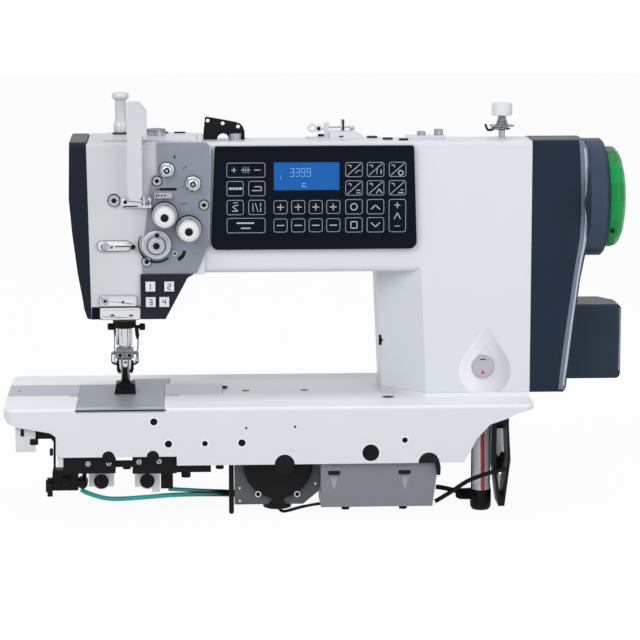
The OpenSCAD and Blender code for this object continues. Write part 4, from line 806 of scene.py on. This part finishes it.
def guides():
    """Face guides and finger guard plates."""
    make("guide_plates", "chrome", [plate(
        [(-1.4, 199.2), (2.6, 200.2), (7, 197.6), (17.6, 196.4), (23, 198.6), (23, 191.4), (17, 190.8),
         (1.4, 191.2), (-1.4, 193.4)], 1.2, [(0, 2.4), (0, 3.4), (0.5, 3.9)], HEAD_Y)])
    make("guide_wires", "chrome", [
        wire(smooth_path([(22.6, -56, 197), (26.4, -58, 201), (27.4, -58, 196), (27.6, -56, 191),
                          (29.4, -54, 190)]), 0.9),
        moulded(stroke((-7.6, 154.8), (8.8, 154.9), 2.2), [(0, 2.6), (0, 3.6), (0.5, 4.1)],
                at=(0, HEAD_Y, 0))])
    make("face_guide", "steel", [
        pad(-8.1, 153.6, 32.8, 9.8, 4.8, 8, [(0, 2), (0, 2.4), (0.3, 2.6)], HEAD_Y)],
        dress="zinc plate")
    make("face_guide_lines", "steel", [
        ring_mark(rounded(33.8, 10.8, 5.2, 8, (-8.1, 153.6)), 0.7, 0.75, PLATE_Y),
        ring_mark(disc_outline(3.6, 32, (-17.6, 153.2)), 0.8, 0.35, PLATE_Y - 0.55),
        boss(-10.6, 152.5, 20, [(1.4, 52.5), (1.4, 53.1), (0.9, 53.3)])], dress="dark steel")
    make("face_guide_end", "black", film([stroke((-7.2, 152.9), (9.6, 153), 0.8)], PLATE_Y - 0.6, 0.2)
         + [boss(10.3, 152.7, 28, [(2, 52), (2.4, 52.6), (2.3, 55.6), (1.5, 56.2)])])
    make("guide_marks", "black", film(
        [disc_outline(r, n, (x, z)) for r, n, x, z in (
            (1.9, 20, 3.2, 196.6), (1.1, 16, 20, 195), (1.2, 16, -0.2, 98.6), (0.8, 12, -16.9, 99.8))]
        + strokes([(1.3, (1.4, 192.4), (15, 192.6)), (1.4, (-11.6, 85.6), (-9.2, 85.6)),
                   (1.4, (6.4, 85.4), (8.8, 85.4)), (1, (-20.8, 102.6), (-16.2, 99.4))]), -53.95, 0.15)
         + film([stroke((-21, 93.6), (15.8, 93.6), 1.3)], PLATE_Y - 0.2, 0.2))
    # pressed finger guard plates with raised rims
    rim = [(0, 2.4), (0, 3.2), (0.5, 3.7), (1.6, 3.75), (2, 3.4)]
    make("finger_guard_plates", "plate_silver", [plate(points, 1.2, rim, HEAD_Y) for points in (
        [(-22, 104.3), (12, 104.3), (13.2, 102.6), (13.2, 94.4), (-22.6, 94.4), (-22.6, 101)],
        [(-22.4, 92.8), (15.4, 92.8), (16.6, 91.4), (16.4, 81.2), (-20.4, 81.2), (-22.6, 83.4)])],
        dress="zinc plate")
    make("finger_guard_lines", "steel", [
        ring_mark(rounded(x1 - x0, z1 - z0, 2, 5, ((x0 + x1) / 2, (z0 + z1) / 2)), 0.45, 0.3,
                  PLATE_Y - 0.2)
        for x0, x1, z0, z1 in ((-23, 13.6, 94, 104.7), (-23, 16.8, 80.8, 93.2))],
        dress="dark steel")


def head_knobs():
    """Sockets of the face screws, pressure knob and knurled screw of the head lid."""
    # black sockets of the face screws; the larger ones sit inside a dark ring painted as their shadow
    shells = []
    for x, z, y, r, ring, base in (
            (34, 217, 54.2, 1.9, 4.4, 52.1), (23.3, 138, 54.2, 2, 4.4, 52.1),
            (79.4, 193.3, 54.2, 2, 4.4, 52.1), (-7.8, 198, 53.2, 2.3, 5.5, 50.1),
            (50.7, 146.1, 54.2, 1.2, 0, 0), (-17.6, 99.6, 54.7, 1.4, 0, 0)):
        shells.append(boss(x, z, 6, [(r * 1.15, y - 1), (r * 1.15, y - 0.1), (r * 0.6, y + 0.05)]))
        if ring:
            shells.append(boss(x, z, 40, [(ring, base), (ring + 0.9, base), (ring + 0.8, base + 0.5),
                                          (ring, base + 0.6), (ring, base)]))
    make("screw_sockets", "black", shells)
    # pressure knob: head, neck and collar
    obj = make("pressure_cap", "plate_silver", [post(*PRESSER, 64, [
        (0.4, 251.7), (5.5, 251.7), (5.55, 257.4), (6.7, 258.1), (7.1, 259.6), (7.1, 265.4), (6.6, 267),
        (5.65, 267.9), (5.5, 270), (5.45, 288.4), (6, 289.8), (7.6, 290.6), (8.3, 291.8), (8.3, 295),
        (7.8, 296.3), (6.4, 296.95), (0.4, 297)])], "pressure_adjuster", "satin knob")
    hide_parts("pressure_knob")
    make("pressure_seal", "rubber", [post(*PRESSER, 48, [
        (7.9, 255.9), (8.3, 256), (8.3, 257.1), (7, 257.25), (7, 255.9), (7.9, 255.9)])])
    # knurled screw of the head lid
    make("lid_knurl", "steel", [post(33.2, 10, 120, [
        (0.4, 258.4), (8.9, 258.4), (9.4, 258.9), (9.4, 261.4), (8.9, 261.95), (6.6, 262.05),
        (5.8, 261.9), (0.4, 261.9)], 30, 0.07)], dress="dark bolt")


def buttons():
    """Moulded tiles of the push buttons, each with its figure."""
    for i, (body, x, z, left, bars) in enumerate((
            ("button_one", 26.7, 114, 2.6, "bc"), ("button_two", 45, 114, 1.3, "abged"),
            ("button_three", 26.9, 98.7, 1.3, "abgcd"), ("button_four", 40.1, 98.7, 1.3, "fgbc")), 1):
        make("button_tile_%d" % i, "white_plastic", [
            pad(x, z, 9.5, 9.5, 0.9, 4, [(0.3, 56.4), (0, 56.7), (0.5, 57.1), (0.9, 57.15)])], body)
        make("button_sign_%d" % i, "black_plastic",
             film(figure(bars, x - left, z - 2.6, 2.6, 5.2, 0.85), -57.12, 0.12), body)


# ---- pillar, covers and drive

def cover_trim():
    """Painted reflection bands of the end cover, collar of the motor ring, dish and details of the oil
    window.
    """
    # lighter band painted as the reflection along the right edge of the end cover, with a painted glint on
    # it: rows of points from top to bottom
    right = np.array([(450.4, 253.9), (452.6, 252.9), (455.2, 242), (456.6, 226), (456.4, 195),
                      (456.6, 168), (455.8, 156), (454.6, 146), (453.2, 140), (449.1, 116),
                      (444.2, 76), (439.7, 36), (436.9, 14), (436, 6)])
    left = np.array([(445.6, 253.9), (446.3, 253.1), (447.7, 234.5), (449, 205), (449.4, 180),
                     (448, 155.5), (444.9, 135.7), (442.1, 116), (436.8, 76), (431.8, 36),
                     (429.8, 16), (429.1, 6)])
    z = np.linspace(253.7, 6.2, 64)
    x1, x0 = (np.interp(-z, -e[:, 1], e[:, 0]) for e in (right, left))

    def down(*section):
        """Grid whose every row is the section (x, y), x being one value per row."""
        return np.stack([np.stack([x, np.full_like(z, y), z], 1) for x, y in section], 1)

    make("cover_band", "navy_plastic", [down(
        (x0, -45.9), (x0 + 0.5, -46.3), (x1 - 2.4, -46.35), (x1 - 0.5, -45.9), (x1, -45),
        (x0, -45))], dress="cover band")
    lo, hi = x0 + 0.5 * (x1 - x0), x0 + 0.78 * (x1 - x0)
    make("cover_glint", "navy_plastic", [down(
        (lo, -46.2), ((lo + hi) / 2, -46.55), (hi, -46.2))[2:-1]], dress="band glint")
    # collar of the motor ring that comes forward to a point over the band
    t = np.radians(np.linspace(-33, 33, 41))
    tip = 450.6 + 6.2 * np.abs(np.sin(t)) / math.sin(math.radians(33))
    rad = np.array([57.6, 58.45, 58.45, 57.6])
    xs = np.stack([tip, tip + 0.3, np.full_like(t, 457.5), np.full_like(t, 457.5)], 1)
    make("ring_collar", "navy_plastic", [
        np.stack([xs, -rad * np.cos(t)[:, None], SHAFT_Z + rad * np.sin(t)[:, None]], 2)])
    # light line painted as the highlight along the rounded right edge of the control box
    make("box_edge", "navy_plastic", [wire(smooth_path(
        [(500.9, 25.6, 12), (501.1, 25.6, 40), (501.1, 25.6, 70), (500.6, 25.8, 75),
         (498.2, 26.2, 78.4)]), 1)], dress="lit edge")
    # smooth dish round the oil window: a teardrop ring that sinks towards the window; its enamel is lighter
    # than the castings as a painted highlight and darkens to the right as painted shade
    a = np.radians(np.linspace(31.3, -211.3, 56))
    drop = np.concatenate([np.stack([356 + 25 * np.cos(a), 26 + 25 * np.sin(a)], 1),
                           filleted([(334.65, 39), (357.2, 72.5), (377.35, 39)], (0, 2.5, 0), 9)[1:-1]])
    mid = np.array([355.4, 30.6])
    ring = [(1.03, 45.6), (1.025, 46.02), (0.99, 46.03), (0.93, 45.85), (0.86, 45.35), (0.78, 44.7),
            (0.7, 44.2), (0.6, 43.95), (0.5, 43.85), (0.5, 43.1), (0.98, 43.1), (1.03, 45.6)]
    make("window_dish", "white_paint", [np.stack([
        np.insert(mid + k * (drop - mid), 1, -y, axis=1) for k, y in ring])],
        dress="dish enamel", smooth=60)
    # oil window: rim, level marks and float pointer
    make("window_rim", "white_paint", [ring_mark(disc_outline(11.6, 56, WINDOW), 0.9, 0.5, -43.7)],
         dress="soft rim")
    make("window_marks", "black", film([stroke((351.4, 36.8), (356.6, 36.8), 1)], -43.65, 0.2))
    make("window_pointer", "red", film(
        strokes([(1.1, (353.6, 22.6), (353.6, 25.6)), (1.2, (353.6, 23.4), (356, 23.2))]), -43.65, 0.25))
    # dark slot low on the slanted side
    lie, out = np.array([0.716, -0.698, 0]), np.array([-0.698, -0.716, 0])
    g = moulded(rounded(3.6, 10.8, 1.7, 5), [(0, -0.6), (0, 0.25), (0.4, 0.45)])
    make("side_socket", "black", [np.array([254.9, -6.63, 51]) + g[..., :1] * lie
                                  + g[..., 2:] * np.array([0, 0, 1]) - g[..., 1:2] * out])


def handwheel():
    """Handwheel with broad hollow facets under a rounded outer edge, its stud and its washer. The
    profile of (radius, position along the shaft) is turned about the shaft; the radius sinks in the
    middle of every facet and every other facet is a little smaller."""
    profile = np.array([(14.2, 470.4), (14.2, 477), (41.5, 477), (49.6, 477.2), (50.3, 478.2),
                        (50.3, 485), (49.7, 487), (48.5, 488.6), (45.2, 491.5), (39.9, 493.9),
                        (31.8, 495.7), (13.2, 495.75), (0.3, 495.75)])
    hollow, offset = 0.018, 0.012
    a = np.linspace(0, 2 * math.pi, 128, endpoint=False)
    facet = a * sizes().wheel_facets / (2 * math.pi)
    cut = 1 - hollow * (1 - (2 * np.abs(facet % 1 - 0.5)) ** 2)
    step = 1 - offset * (np.floor(facet) % 2)
    blend_in = np.interp(profile[:, 0], [20, 40], [0, 1])[:, None]
    rad = profile[:, :1] * (1 + blend_in * (cut * step - 1)[None])
    grid = np.stack([np.broadcast_to(profile[:, 1:], rad.shape), rad * np.cos(a),
                     SHAFT_Z + rad * np.sin(a)], 2)
    obj = make("handwheel_rim", "green", [grid], "drive_shaft", "wheel green", 12)
    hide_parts("handwheel")
    make("wheel_stud", "black", [boss(481.6, 163.4, 28, [
        (0.4, 38), (2.1, 38), (2.1, 41.4), (1.6, 41.7), (0.4, 41.7)])], "drive_shaft")
    make("wheel_washer", "steel", [turned(
        [(7.6, 495.5), (12.4, 495.5), (12.2, 495.78), (7.6, 495.79), (7.6, 495.5)], "right",
        (0, 0, SHAFT_Z), 48)], "drive_shaft")


def arm_top():
    """Winder tension, screws of the pillar lid and details of the eyelet on the arm top."""
    obj = make("winder_knob", "white_plastic", [post(*WINDER, 56, [
        (2.7, 275.4), (9.6, 275.4), (10.2, 276), (10.25, 285.4), (9.9, 286.8), (8.8, 287.6),
        (0.3, 287.75)])], "winder_nut")
    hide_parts("winder_cap")
    make("winder_discs", "black", [
        post(*WINDER, 56, [(3.4, 263.9), (8, 264.2), (12.1, 265.3), (12.3, 265), (8.2, 263.7),
                           (3.4, 263.5), (3.4, 263.9)]),
        post(*WINDER, 48, [(3.4, 262.2), (6.4, 262.2), (8.5, 261.4), (8.6, 261.8), (6.6, 262.7),
                           (3.4, 262.9), (3.4, 262.2)]),
        wire(smooth_path([(368, -6, 262.4), (363.6, -7, 260.6), (360.4, -7.6, 261.6), (358.2, -8, 266.6)]),
             1.15)])
    # screws over the lid of the pillar and the bolt beside the fin guide
    make("top_bolts", "steel", [
        post(x, y, 40, [(r * 0.9, z), (r, z + 0.3), (r, z + h - 0.8), (r * 0.86, z + h), (r * 0.5, z + h),
                        (r * 0.45, z + h - 0.9)], 10, 0.05)
        for x, y, z, r, h in ((294.9, -5, 255.95, 4.25, 3.7), (312.1, -5, 255.95, 4.55, 5.7),
                              (110.6, -24.5, 253.55, 5.65, 6.7))], dress="dark bolt")
    make("eyelet_marks", "black", [
        boss(193.4, 262.8, 24, [(1.9, 5.9), (1.9, 6.3), (1.4, 6.4)]),
        post(195.6, -4, 24, [(3, 254), (3.2, 257), (2, 257.3)]),
        pad(215.4, 255.2, 4.4, 1.3, 0.6, 4, [(0, 8.9), (0, 9.15)]),
        wire([(217.6, -3.6, 260.4), (217.6, -3.6, 266), (217.6, -3.6, 271.4)], 1)])


# ---- bed and parts under it

# front holes of the bed: x, z and radius; screws sit in the first five
FRONT_HOLES = ((29, -13.5, 3.6), (43, -35.6, 3.6), (78.4, -35.5, 2.8), (114.3, -35.2, 3.6),
               (273.2, -34.2, 2.8), (239.9, -46.3, 8.2))
SCREW_PLAY = 0.1    # gap between a set screw and its hole


def bed_details():
    """Painted shadow line under the needle plate, painted shade in the holes, shaft ends and small screws
    of the bed.
    """
    # black strip along the front edge of the needle plate, painted as the shadow of the gap under it
    make("plate_gasket", "rubber", [
        pad(-3, -1.9, 88, 1.3, 0.5, 3, [(0, -0.6), (0, 0.35), (0.2, 0.5)], BED_Y)])
    # sloping front lip of the needle plate, in a lighter steel painted as the highlight on its slope: one
    # section from end to end
    section = np.array([(-82.9, 0), (-86, -0.1), (-89.9, -0.95), (-89.9, -1.25), (-82.9, -1.25)])
    make("plate_lip", "plate_silver", [np.stack([np.insert(section, 0, x, axis=1) for x in (-45.6, 38.9)])],
         dress="lip steel")
    make("front_set_screws", "black", [
        boss(x, z, 32, [(r, 84), (r, 88.6), (r * 0.85, 88.9), (r * 0.5, 88.9), (r * 0.45, 87.4)])
        for x, z, hole in FRONT_HOLES[:5] for r in (hole - SCREW_PLAY,)]
        + [boss(x, z, 16, [(1.1, 84), (1.1, 89), (0.55, 89)]) for x, z in ((118.6, -20.6), (166, -19.7))])
    # lighter rings round the front holes, painted as the highlight on their chamfers
    make("hole_rims", "white_paint", [
        boss(x, z, 40, [(r, 89.8), (r + 0.1, 90.1), (r + 0.9, 90.12), (r + 1.3, 89.9), (r, 89.8)])
        for x, z, r in FRONT_HOLES], dress="rim enamel")
    a = np.radians(np.linspace(0, 180, 30))
    half = np.stack([296.9 + 10.1 * np.cos(a), -57.3 + 10.1 * np.sin(a)], 1)
    make("front_shaft_ends", "black", [
        boss(x, z, 40, [(r, 82.2), (r, 88.6), (r * 0.92, 89.3), (r * 0.6, 89.6), (r * 0.4, 89.6)])
        for x, z, r in ((-15.3, -48.4, 5.7), (27.8, -48.4, 5.7), (155.9, -57.2, 9.4))]
        + [moulded(half, [(0, 80), (0, 89.2), (0.6, 89.6)]),
           plate([(303.2, -56), (307.6, -56), (308.6, -62), (308.2, -69.6), (305.2, -70), (304.2, -64)],
                 0.8, [(0, 80), (0, 88.8), (0.5, 89.2)])])
    make("front_plug_face", "black_plastic", [boss(*FRONT_HOLES[5][:2], 48, [
        (7.9, 88.6), (8.2, 90.3), (7.4, 90.55), (5.8, 90.2), (0.8, 90.2)])])
    # black discs at the bottoms of the holes in the bed top, painted as the shade inside them, and small
    # plate screws
    make("hole_liners", "black", [
        post(x, y, 40, [(r, z - 2), (r, z), (r * 0.5, z)])
        for x, y, z, r in ((120.3, -3, 0.03, 4.1), (179, -3, 0.03, 4.1), (98.5, -23, 253.2, 4.7),
                           (-106, 6, -0.1, 1.9), (260.3, -43, 0.03, 6), (99.6, 9.2, 2.6, 2.3))])
    make("plate_screw_marks", "steel", film(
        [stroke((-60, -13), (-40, -9), 0.5), stroke((22, -38), (30, -34), 0.5)], 0, 0.06, "top")
        + [post(x, y, 20, [(1.5, -0.3), (1.5, 0.05), (0.7, 0.06)])
           for x, y in ((-38, 28), (32, -14), (-38, -14), (38, 60), (93.2, 15))])


def under_bed():
    """Bolts and fittings of the parts under the bed."""
    make("under_screws", "chrome", [
        boss(x, z, n, profile)
        for x, z in ((-35.3, -55.6), (-15.2, -55.2), (14.2, -54.2), (33.6, -53.8)) for n, profile in (
            (6, [(1.7, 84), (1.8, 84.7), (2.6, 84.6), (2.8, 84), (1.7, 84)]),
            (12, [(0.7, 84), (0.7, 84.6), (0.3, 84.7)]))]
        + [boss(x, z, 28, [(1.86, 66), (2.1, 67.6), (3, 67.5), (3.15, 66), (1.86, 66)])
           for x, z in ((130.5, -91.6), (169, -92))]
        + [boss(x, z, 28, [(r, 62), (r, 63), (r * 0.75, 63.6), (r * 0.42, 63.4), (r * 0.38, 62.6)])
           for x, z, r in ((187, -82.4, 1.5), (112.6, -86, 1.2), (112.6, -99, 1.2))])
    make("under_bolts", "black", [
        post(x, -y, 6, [(r, z - 3.2), (r, z + 3.2), (r * 0.4, z + 3.4)])
        for x, z, y, r in ((59.8, -69.5, 70, 4.6), (2, -60.6, 70, 4), (92.9, -61.4, 70, 4),
                           (216.4, -103, 62, 4.2), (273.9, -103, 62, 4.2))]
        + [boss(x, -77.5, 32, [(7.4, 64.9), (7, 65.8), (5, 66.2), (3, 65.6), (0.8, 65.6)])
           for x in (-23.2, 21.8)]
        + [boss(x, z, 28, [(4.4, y), (4.6, y + 1.6), (3.6, y + 2.4), (2.2, y + 2)])
           for x, z, y in ((-41.6, -79.5, 66), (-58, -77, 64))]
        + [turned([(6, 71), (6.4, 71.6), (6.4, 77), (5.8, 77.4)], "left", (0, -63, -82), 28)]
        + [pad((x0 + x1) / 2, (z0 + z1) / 2, x1 - x0, z1 - z0, r, 4, [(0, 78), (0, 81.4), (0.4, 81.8)])
           for x0, z0, x1, z1, r in ((-100.2, -28.2, -97, -21.2, 0.3), (-91.2, -36.8, -83.4, -31, 0.9),
                                     (-72.4, -47.8, -69.2, -41, 0.8))])
    # gland whose radius steps up and down like bellows
    n = 33
    xs = np.linspace(326, 342, n)
    radius = np.interp(xs, [326, 330, 342], [3.2, 5, 5.4]) + 0.8 * (np.arange(n) % 2)
    make("cable_gland", "rubber", [turned(np.stack([radius, xs], 1), "right", (0, -64, -94.2), 32)])


def driver_box():
    """Pockets in the front of the driver box: each hollow is deepest at its slot and runs out to a
    point. v runs down the pocket, u across it; the width falls off like a root of 1 - v to a power."""
    pockets = (204.5, 273.2)
    v = np.linspace(0, 1, 16)[:, None]
    u = np.linspace(-1, 1, 17)[None, :]
    across = u * (6.3 * np.sqrt(np.clip(1 - v ** 2.2, 0, 1)) + 0.05)
    down = -64.2 - 22.6 * v + 0 * u
    depth = 3.2 * (1 - u ** 2) * (1 - v) ** 0.6
    shells = []
    for x in pockets:
        front = np.stack([x + across, -84.06 + depth, down], 2)
        back = np.stack([x + across, np.full_like(down, -79), down], 2)
        shells.append(np.concatenate([front, back[:, ::-1]], 1))
    # the pockets are painted lighter than the box as their highlight and darker towards the slot as painted
    # shade
    make("box_pockets", "grey_paint", shells, dress="pocket enamel", smooth=60)
    make("box_brows", "grey_paint", [
        pad(x, -62.8, 15, 5, 0.4, 3, [(0, 82), (0, 84.06), (0.1, 84.1)]) for x in pockets])
    make("box_slots", "black", [
        pad(x, -67.4, 11.6, 3.8, 1.6, 6, [(0, 80), (0, 84.1), (0.3, 84.3)]) for x in pockets])


def fittings():
    """Solenoid lid and lead, light plates and the oil tube with its red level line."""
    a = np.radians(np.linspace(171, 369, 72))
    lid = np.stack([150 + 33.7 * np.cos(a), -62.5 + 33.7 * np.sin(a)], 1)
    make("solenoid_face", "black", [
        moulded(lid, [(0, 65.9), (0, 66.6), (0.9, 67.2), (3, 67.2)]),
        plate([(139.8, -103.8), (159.6, -103.8), (155.6, -99.6), (154.6, -93.4), (144.8, -93.4),
               (143.8, -99.6)], 1, [(0, 62), (0, 66.4), (0.5, 66.9)]),
        post(149.7, -54, 40, [(12, -107.4), (13.9, -106.6), (14.2, -103.4), (13, -103)]),
        wire(smooth_path([(150, -56, -107), (154, -58, -111.2), (160, -60, -110.6), (172, -60, -107.4),
                          (183, -61, -104.8), (192, -61, -103.6)]), 1.2)])
    # light face of the wing angle plate
    make("wing_plate_face", "plate_silver", [
        pad(-95.6, -31.9, 19.2, 24, 0.6, 4, [(0, 80), (0, 80.3), (0.4, 80.5)]),
        pad(-62, -51.4, 5.6, 13.6, 0.5, 4, [(0, 84), (0, 86.5), (0.4, 86.8)])], dress="light zinc")
    # oil tube: black cups, red level line and side line on the clear wall
    make("oil_tube_caps", "rubber", [
        post(352, -52, 48, [(5, -112.6), (8.4, -112.1), (10.2, -109.4), (10.4, -106), (10.4, -92.4),
                            (9.9, -91.6), (9, -91.6)]),
        wire([(342.4, -56, -92), (342.4, -56, -60), (342.6, -56, -40)], 0.6, 10)])
    make("oil_level_line", "red", [
        wire([(353, -61, -91.6), (352.7, -61, -60), (352, -61, -22)], 1.9, 16)])
    make("oil_tube_shade", "clear", [wire([(358.4, -58.4, -91.6), (358.4, -58.4, -22)], 1.3)],
         dress="tube shade")
    # light plate behind the cable hanger and the dark clip across it
    make("hanger_plate", "plate_silver", [
        plate(points, 0.8, [(0, 36), (0, 38), (0.3, 38.3)]) for points in (
            [(367.4, -33), (378.4, -33), (378.6, -64), (367.8, -64)],
            [(368, -81), (379, -81), (378, -104), (374.6, -111), (371.4, -111)])], dress="bright zinc")
    make("hanger_clip", "black", [
        plate(points, r, [(0, 36.4), (0, 38.6), (0.3, 38.9)]) for r, points in (
            (0.8, [(367.6, -56), (371, -63.4), (374.6, -57), (378.6, -60), (379, -80), (373.6, -77),
                   (368, -84)]),
            (0.6, [(366.4, -23.5), (381, -23.5), (380.4, -33.4), (366.8, -34.6)]))])


# ---- stage

# centre of the camera's view and sensor width
AIM = (0.195, 0, 0.0705)
SENSOR = 36
# lamps: property with the power, place, aim and side length in metres
LAMPS = (("key", (-0.9, -1.9, 1.5), (0.15, 0, 0.1), 1.6), ("fill", (1.7, -1.7, 0.9), (0.2, 0, 0.1), 1.6),
         ("top", (0.2, 0.3, 2.2), (0.2, 0, 0.1), 1.8))
FLOOR_HALF = 6      # half the side of the floor in metres
FLOOR_GAP = 0.0004  # the floor lies this far under the lowest solid
SKY_BLUE, SKY_SHARE = (0.97, 0.98, 1, 1), 0.5
WHITE = (1, 1, 1, 1)


def seen(tree, share):
    """Share of white that a ray gets when it comes from the camera, a mirror or glass."""
    ray = tree.nodes.new("ShaderNodeLightPath").outputs
    any_of = maths(tree, "MAXIMUM", ray["Is Camera Ray"], ray["Is Transmission Ray"])
    any_of = maths(tree, "MAXIMUM", any_of, ray["Is Glossy Ray"])
    return maths(tree, "MULTIPLY", any_of, share)


def two_faced(tree, output, plain, bright, share):
    """Joins two shaders: rays that seen() picks get the bright one, all others the plain one."""
    out = tree.nodes.new(output)
    mix = tree.nodes.new("ShaderNodeMixShader")
    for slot, socket in enumerate((seen(tree, share), plain.outputs[0], bright.outputs[0])):
        tree.links.new(socket, mix.inputs[slot])
    tree.links.new(mix.outputs[0], out.inputs[0])


def shader(tree, kind, rgba, strength=None):
    """Shader node with a colour and, where it has one, a strength."""
    node = tree.nodes.new(kind)
    node.inputs[0].default_value = rgba
    if strength is not None:
        node.inputs[1].default_value = strength
    return node


def place(name, data, spot, aim):
    """Adds a lamp or a camera that looks from a spot at an aim."""
    obj = bpy.data.objects.new(name, data)
    obj.location = spot
    obj.rotation_euler = (Vector(aim) - Vector(spot)).to_track_quat("-Z", "Y").to_euler()
    bpy.context.scene.collection.objects.link(obj)
    return obj


def stage():
    """Floor, lamps, world and camera."""
    sc = bpy.context.scene
    s = sc.sewing_stage
    low = CAD_BOX[0][2] - FLOOR_GAP
    k = FLOOR_HALF
    mesh = bpy.data.meshes.new("floor")
    mesh.from_pydata([(-k, -k, low), (k, -k, low), (k, k, low), (-k, k, low)], [], [(0, 1, 2, 3)])
    floor = bpy.data.objects.new("floor", mesh)
    sc.collection.objects.link(floor)
    paint = bpy.data.materials.new("floor paint")
    paint.use_nodes = True
    tree = paint.node_tree
    tree.nodes.clear()
    two_faced(tree, "ShaderNodeOutputMaterial",
              shader(tree, "ShaderNodeBsdfDiffuse", (*sc.sewing_colours.floor, 1)),
              shader(tree, "ShaderNodeEmission", WHITE), s.floor_white)
    mesh.materials.append(paint)
    world = bpy.data.worlds.new("studio")
    sc.world = world
    world.use_nodes = True
    tree = world.node_tree
    tree.nodes.clear()
    two_faced(tree, "ShaderNodeOutputWorld", shader(tree, "ShaderNodeBackground", SKY_BLUE, SKY_SHARE),
              shader(tree, "ShaderNodeBackground", WHITE, 1), 1)
    for name, spot, aim, side in LAMPS:
        lamp = bpy.data.lights.new(name, "AREA")
        lamp.size = side
        lamp.energy = getattr(s, name)
        place(name, lamp, spot, aim)
    cam = bpy.data.cameras.new("camera")
    cam.lens = s.lens
    cam.sensor_width = SENSOR
    cam.clip_end = 50
    back = Vector((math.sin(s.azimuth) * math.cos(s.elevation),
                   -math.cos(s.azimuth) * math.cos(s.elevation), math.sin(s.elevation)))
    sc.camera = place("camera", cam, Vector(AIM) + back * s.distance, AIM)
    sc.view_settings.view_transform = "Standard"


# ---- operators

class HEAD_OT_finishes(bpy.types.Operator):
    """Gives every CAD node its finish"""
    bl_idname = "sewing_head.finishes"
    bl_label = "Finishes"

    def execute(self, context):
        slots = {s["node"]: s["material_slot"] for s in frame["record"]["subparts"]}
        for node, obj in frame["nodes"].items():
            mat = look(NODES.get(node, SLOTS[slots[node]]))
            if obj.material_slots:
                for s in obj.material_slots:
                    s.material = mat
            else:
                obj.data.materials.append(mat)
        return {"FINISHED"}


class HEAD_OT_panel(bpy.types.Operator):
    """Adds the key outlines, the key symbols and the figures of the screen"""
    bl_idname = "sewing_head.panel_marks"
    bl_label = "Panel marks"

    def execute(self, context):
        panel_marks()
        return {"FINISHED"}


class HEAD_OT_tension(bpy.types.Operator):
    """Adds the thumb nuts, discs, springs and guides of the thread tension group"""
    bl_idname = "sewing_head.tension"
    bl_label = "Tension group"

    def execute(self, context):
        tension_group()
        return {"FINISHED"}


class HEAD_OT_needle(bpy.types.Operator):
    """Adds the collar, guide pins, side knobs, guard wires and clamp details round the needle bar"""
    bl_idname = "sewing_head.needle_zone"
    bl_label = "Needle zone"

    def execute(self, context):
        needle_zone()
        return {"FINISHED"}


class HEAD_OT_guides(bpy.types.Operator):
    """Adds the face guides, finger guard plates, face screws, head knobs and button tiles"""
    bl_idname = "sewing_head.guides"
    bl_label = "Guides and buttons"

    def execute(self, context):
        guides()
        head_knobs()
        buttons()
        return {"FINISHED"}


class HEAD_OT_covers(bpy.types.Operator):
    """Adds the painted reflection bands of the covers, the dish of the oil window and the side socket"""
    bl_idname = "sewing_head.cover_trim"
    bl_label = "Cover trim"

    def execute(self, context):
        cover_trim()
        return {"FINISHED"}


class HEAD_OT_drive(bpy.types.Operator):
    """Adds the faceted handwheel, the winder tension and the screws of the arm top"""
    bl_idname = "sewing_head.drive"
    bl_label = "Handwheel and arm top"

    def execute(self, context):
        handwheel()
        arm_top()
        return {"FINISHED"}


class HEAD_OT_bed(bpy.types.Operator):
    """Adds the painted shadow line under the needle plate, the painted shade in the holes, bungs and small
    screws of the bed
    """
    bl_idname = "sewing_head.bed_details"
    bl_label = "Bed details"

    def execute(self, context):
        bed_details()
        return {"FINISHED"}


class HEAD_OT_under(bpy.types.Operator):
    """Adds the bolts, box pockets, light plates and tube details under the bed"""
    bl_idname = "sewing_head.under_bed"
    bl_label = "Under the bed"

    def execute(self, context):
        under_bed()
        driver_box()
        fittings()
        return {"FINISHED"}


class HEAD_OT_stage(bpy.types.Operator):
    """Adds the floor, the lamps, the world and the camera"""
    bl_idname = "sewing_head.stage"
    bl_label = "Stage"

    def execute(self, context):
        stage()
        return {"FINISHED"}


class HEAD_PT_panel(bpy.types.Panel):
    """Lists the operators and the settings in the sidebar"""
    bl_label = "Sewing Head"
    bl_idname = "HEAD_PT_panel"
    bl_space_type = "VIEW_3D"
    bl_region_type = "UI"
    bl_category = "Sewing Head"

    def draw(self, context):
        for op in OPERATORS:
            self.layout.operator(op.bl_idname)
        for name, group in GROUPS.items():
            for item in group.__annotations__:
                self.layout.prop(getattr(context.scene, name), item)


OPERATORS = (HEAD_OT_finishes, HEAD_OT_panel, HEAD_OT_tension, HEAD_OT_needle, HEAD_OT_guides,
             HEAD_OT_covers, HEAD_OT_drive, HEAD_OT_bed, HEAD_OT_under, HEAD_OT_stage)
GROUPS = {"sewing_colours": HeadColours, "sewing_sizes": HeadSizes, "sewing_stage": HeadStage}


def register():
    """Registers all classes and ties the settings to the scene."""
    for c in (*GROUPS.values(), *OPERATORS, HEAD_PT_panel):
        bpy.utils.register_class(c)
    for name, group in GROUPS.items():
        setattr(bpy.types.Scene, name, bpy.props.PointerProperty(type=group))


def unregister():
    """Takes back what register() did, in the opposite order."""
    for name in GROUPS:
        delattr(bpy.types.Scene, name)
    for c in (HEAD_PT_panel, *reversed(OPERATORS), *GROUPS.values()):
        bpy.utils.unregister_class(c)


def main():
    """Builds everything in order."""
    register()
    for op in OPERATORS:
        group, name = op.bl_idname.split(".")
        getattr(getattr(bpy.ops, group), name)()


if __name__ == "__main__":
    main()
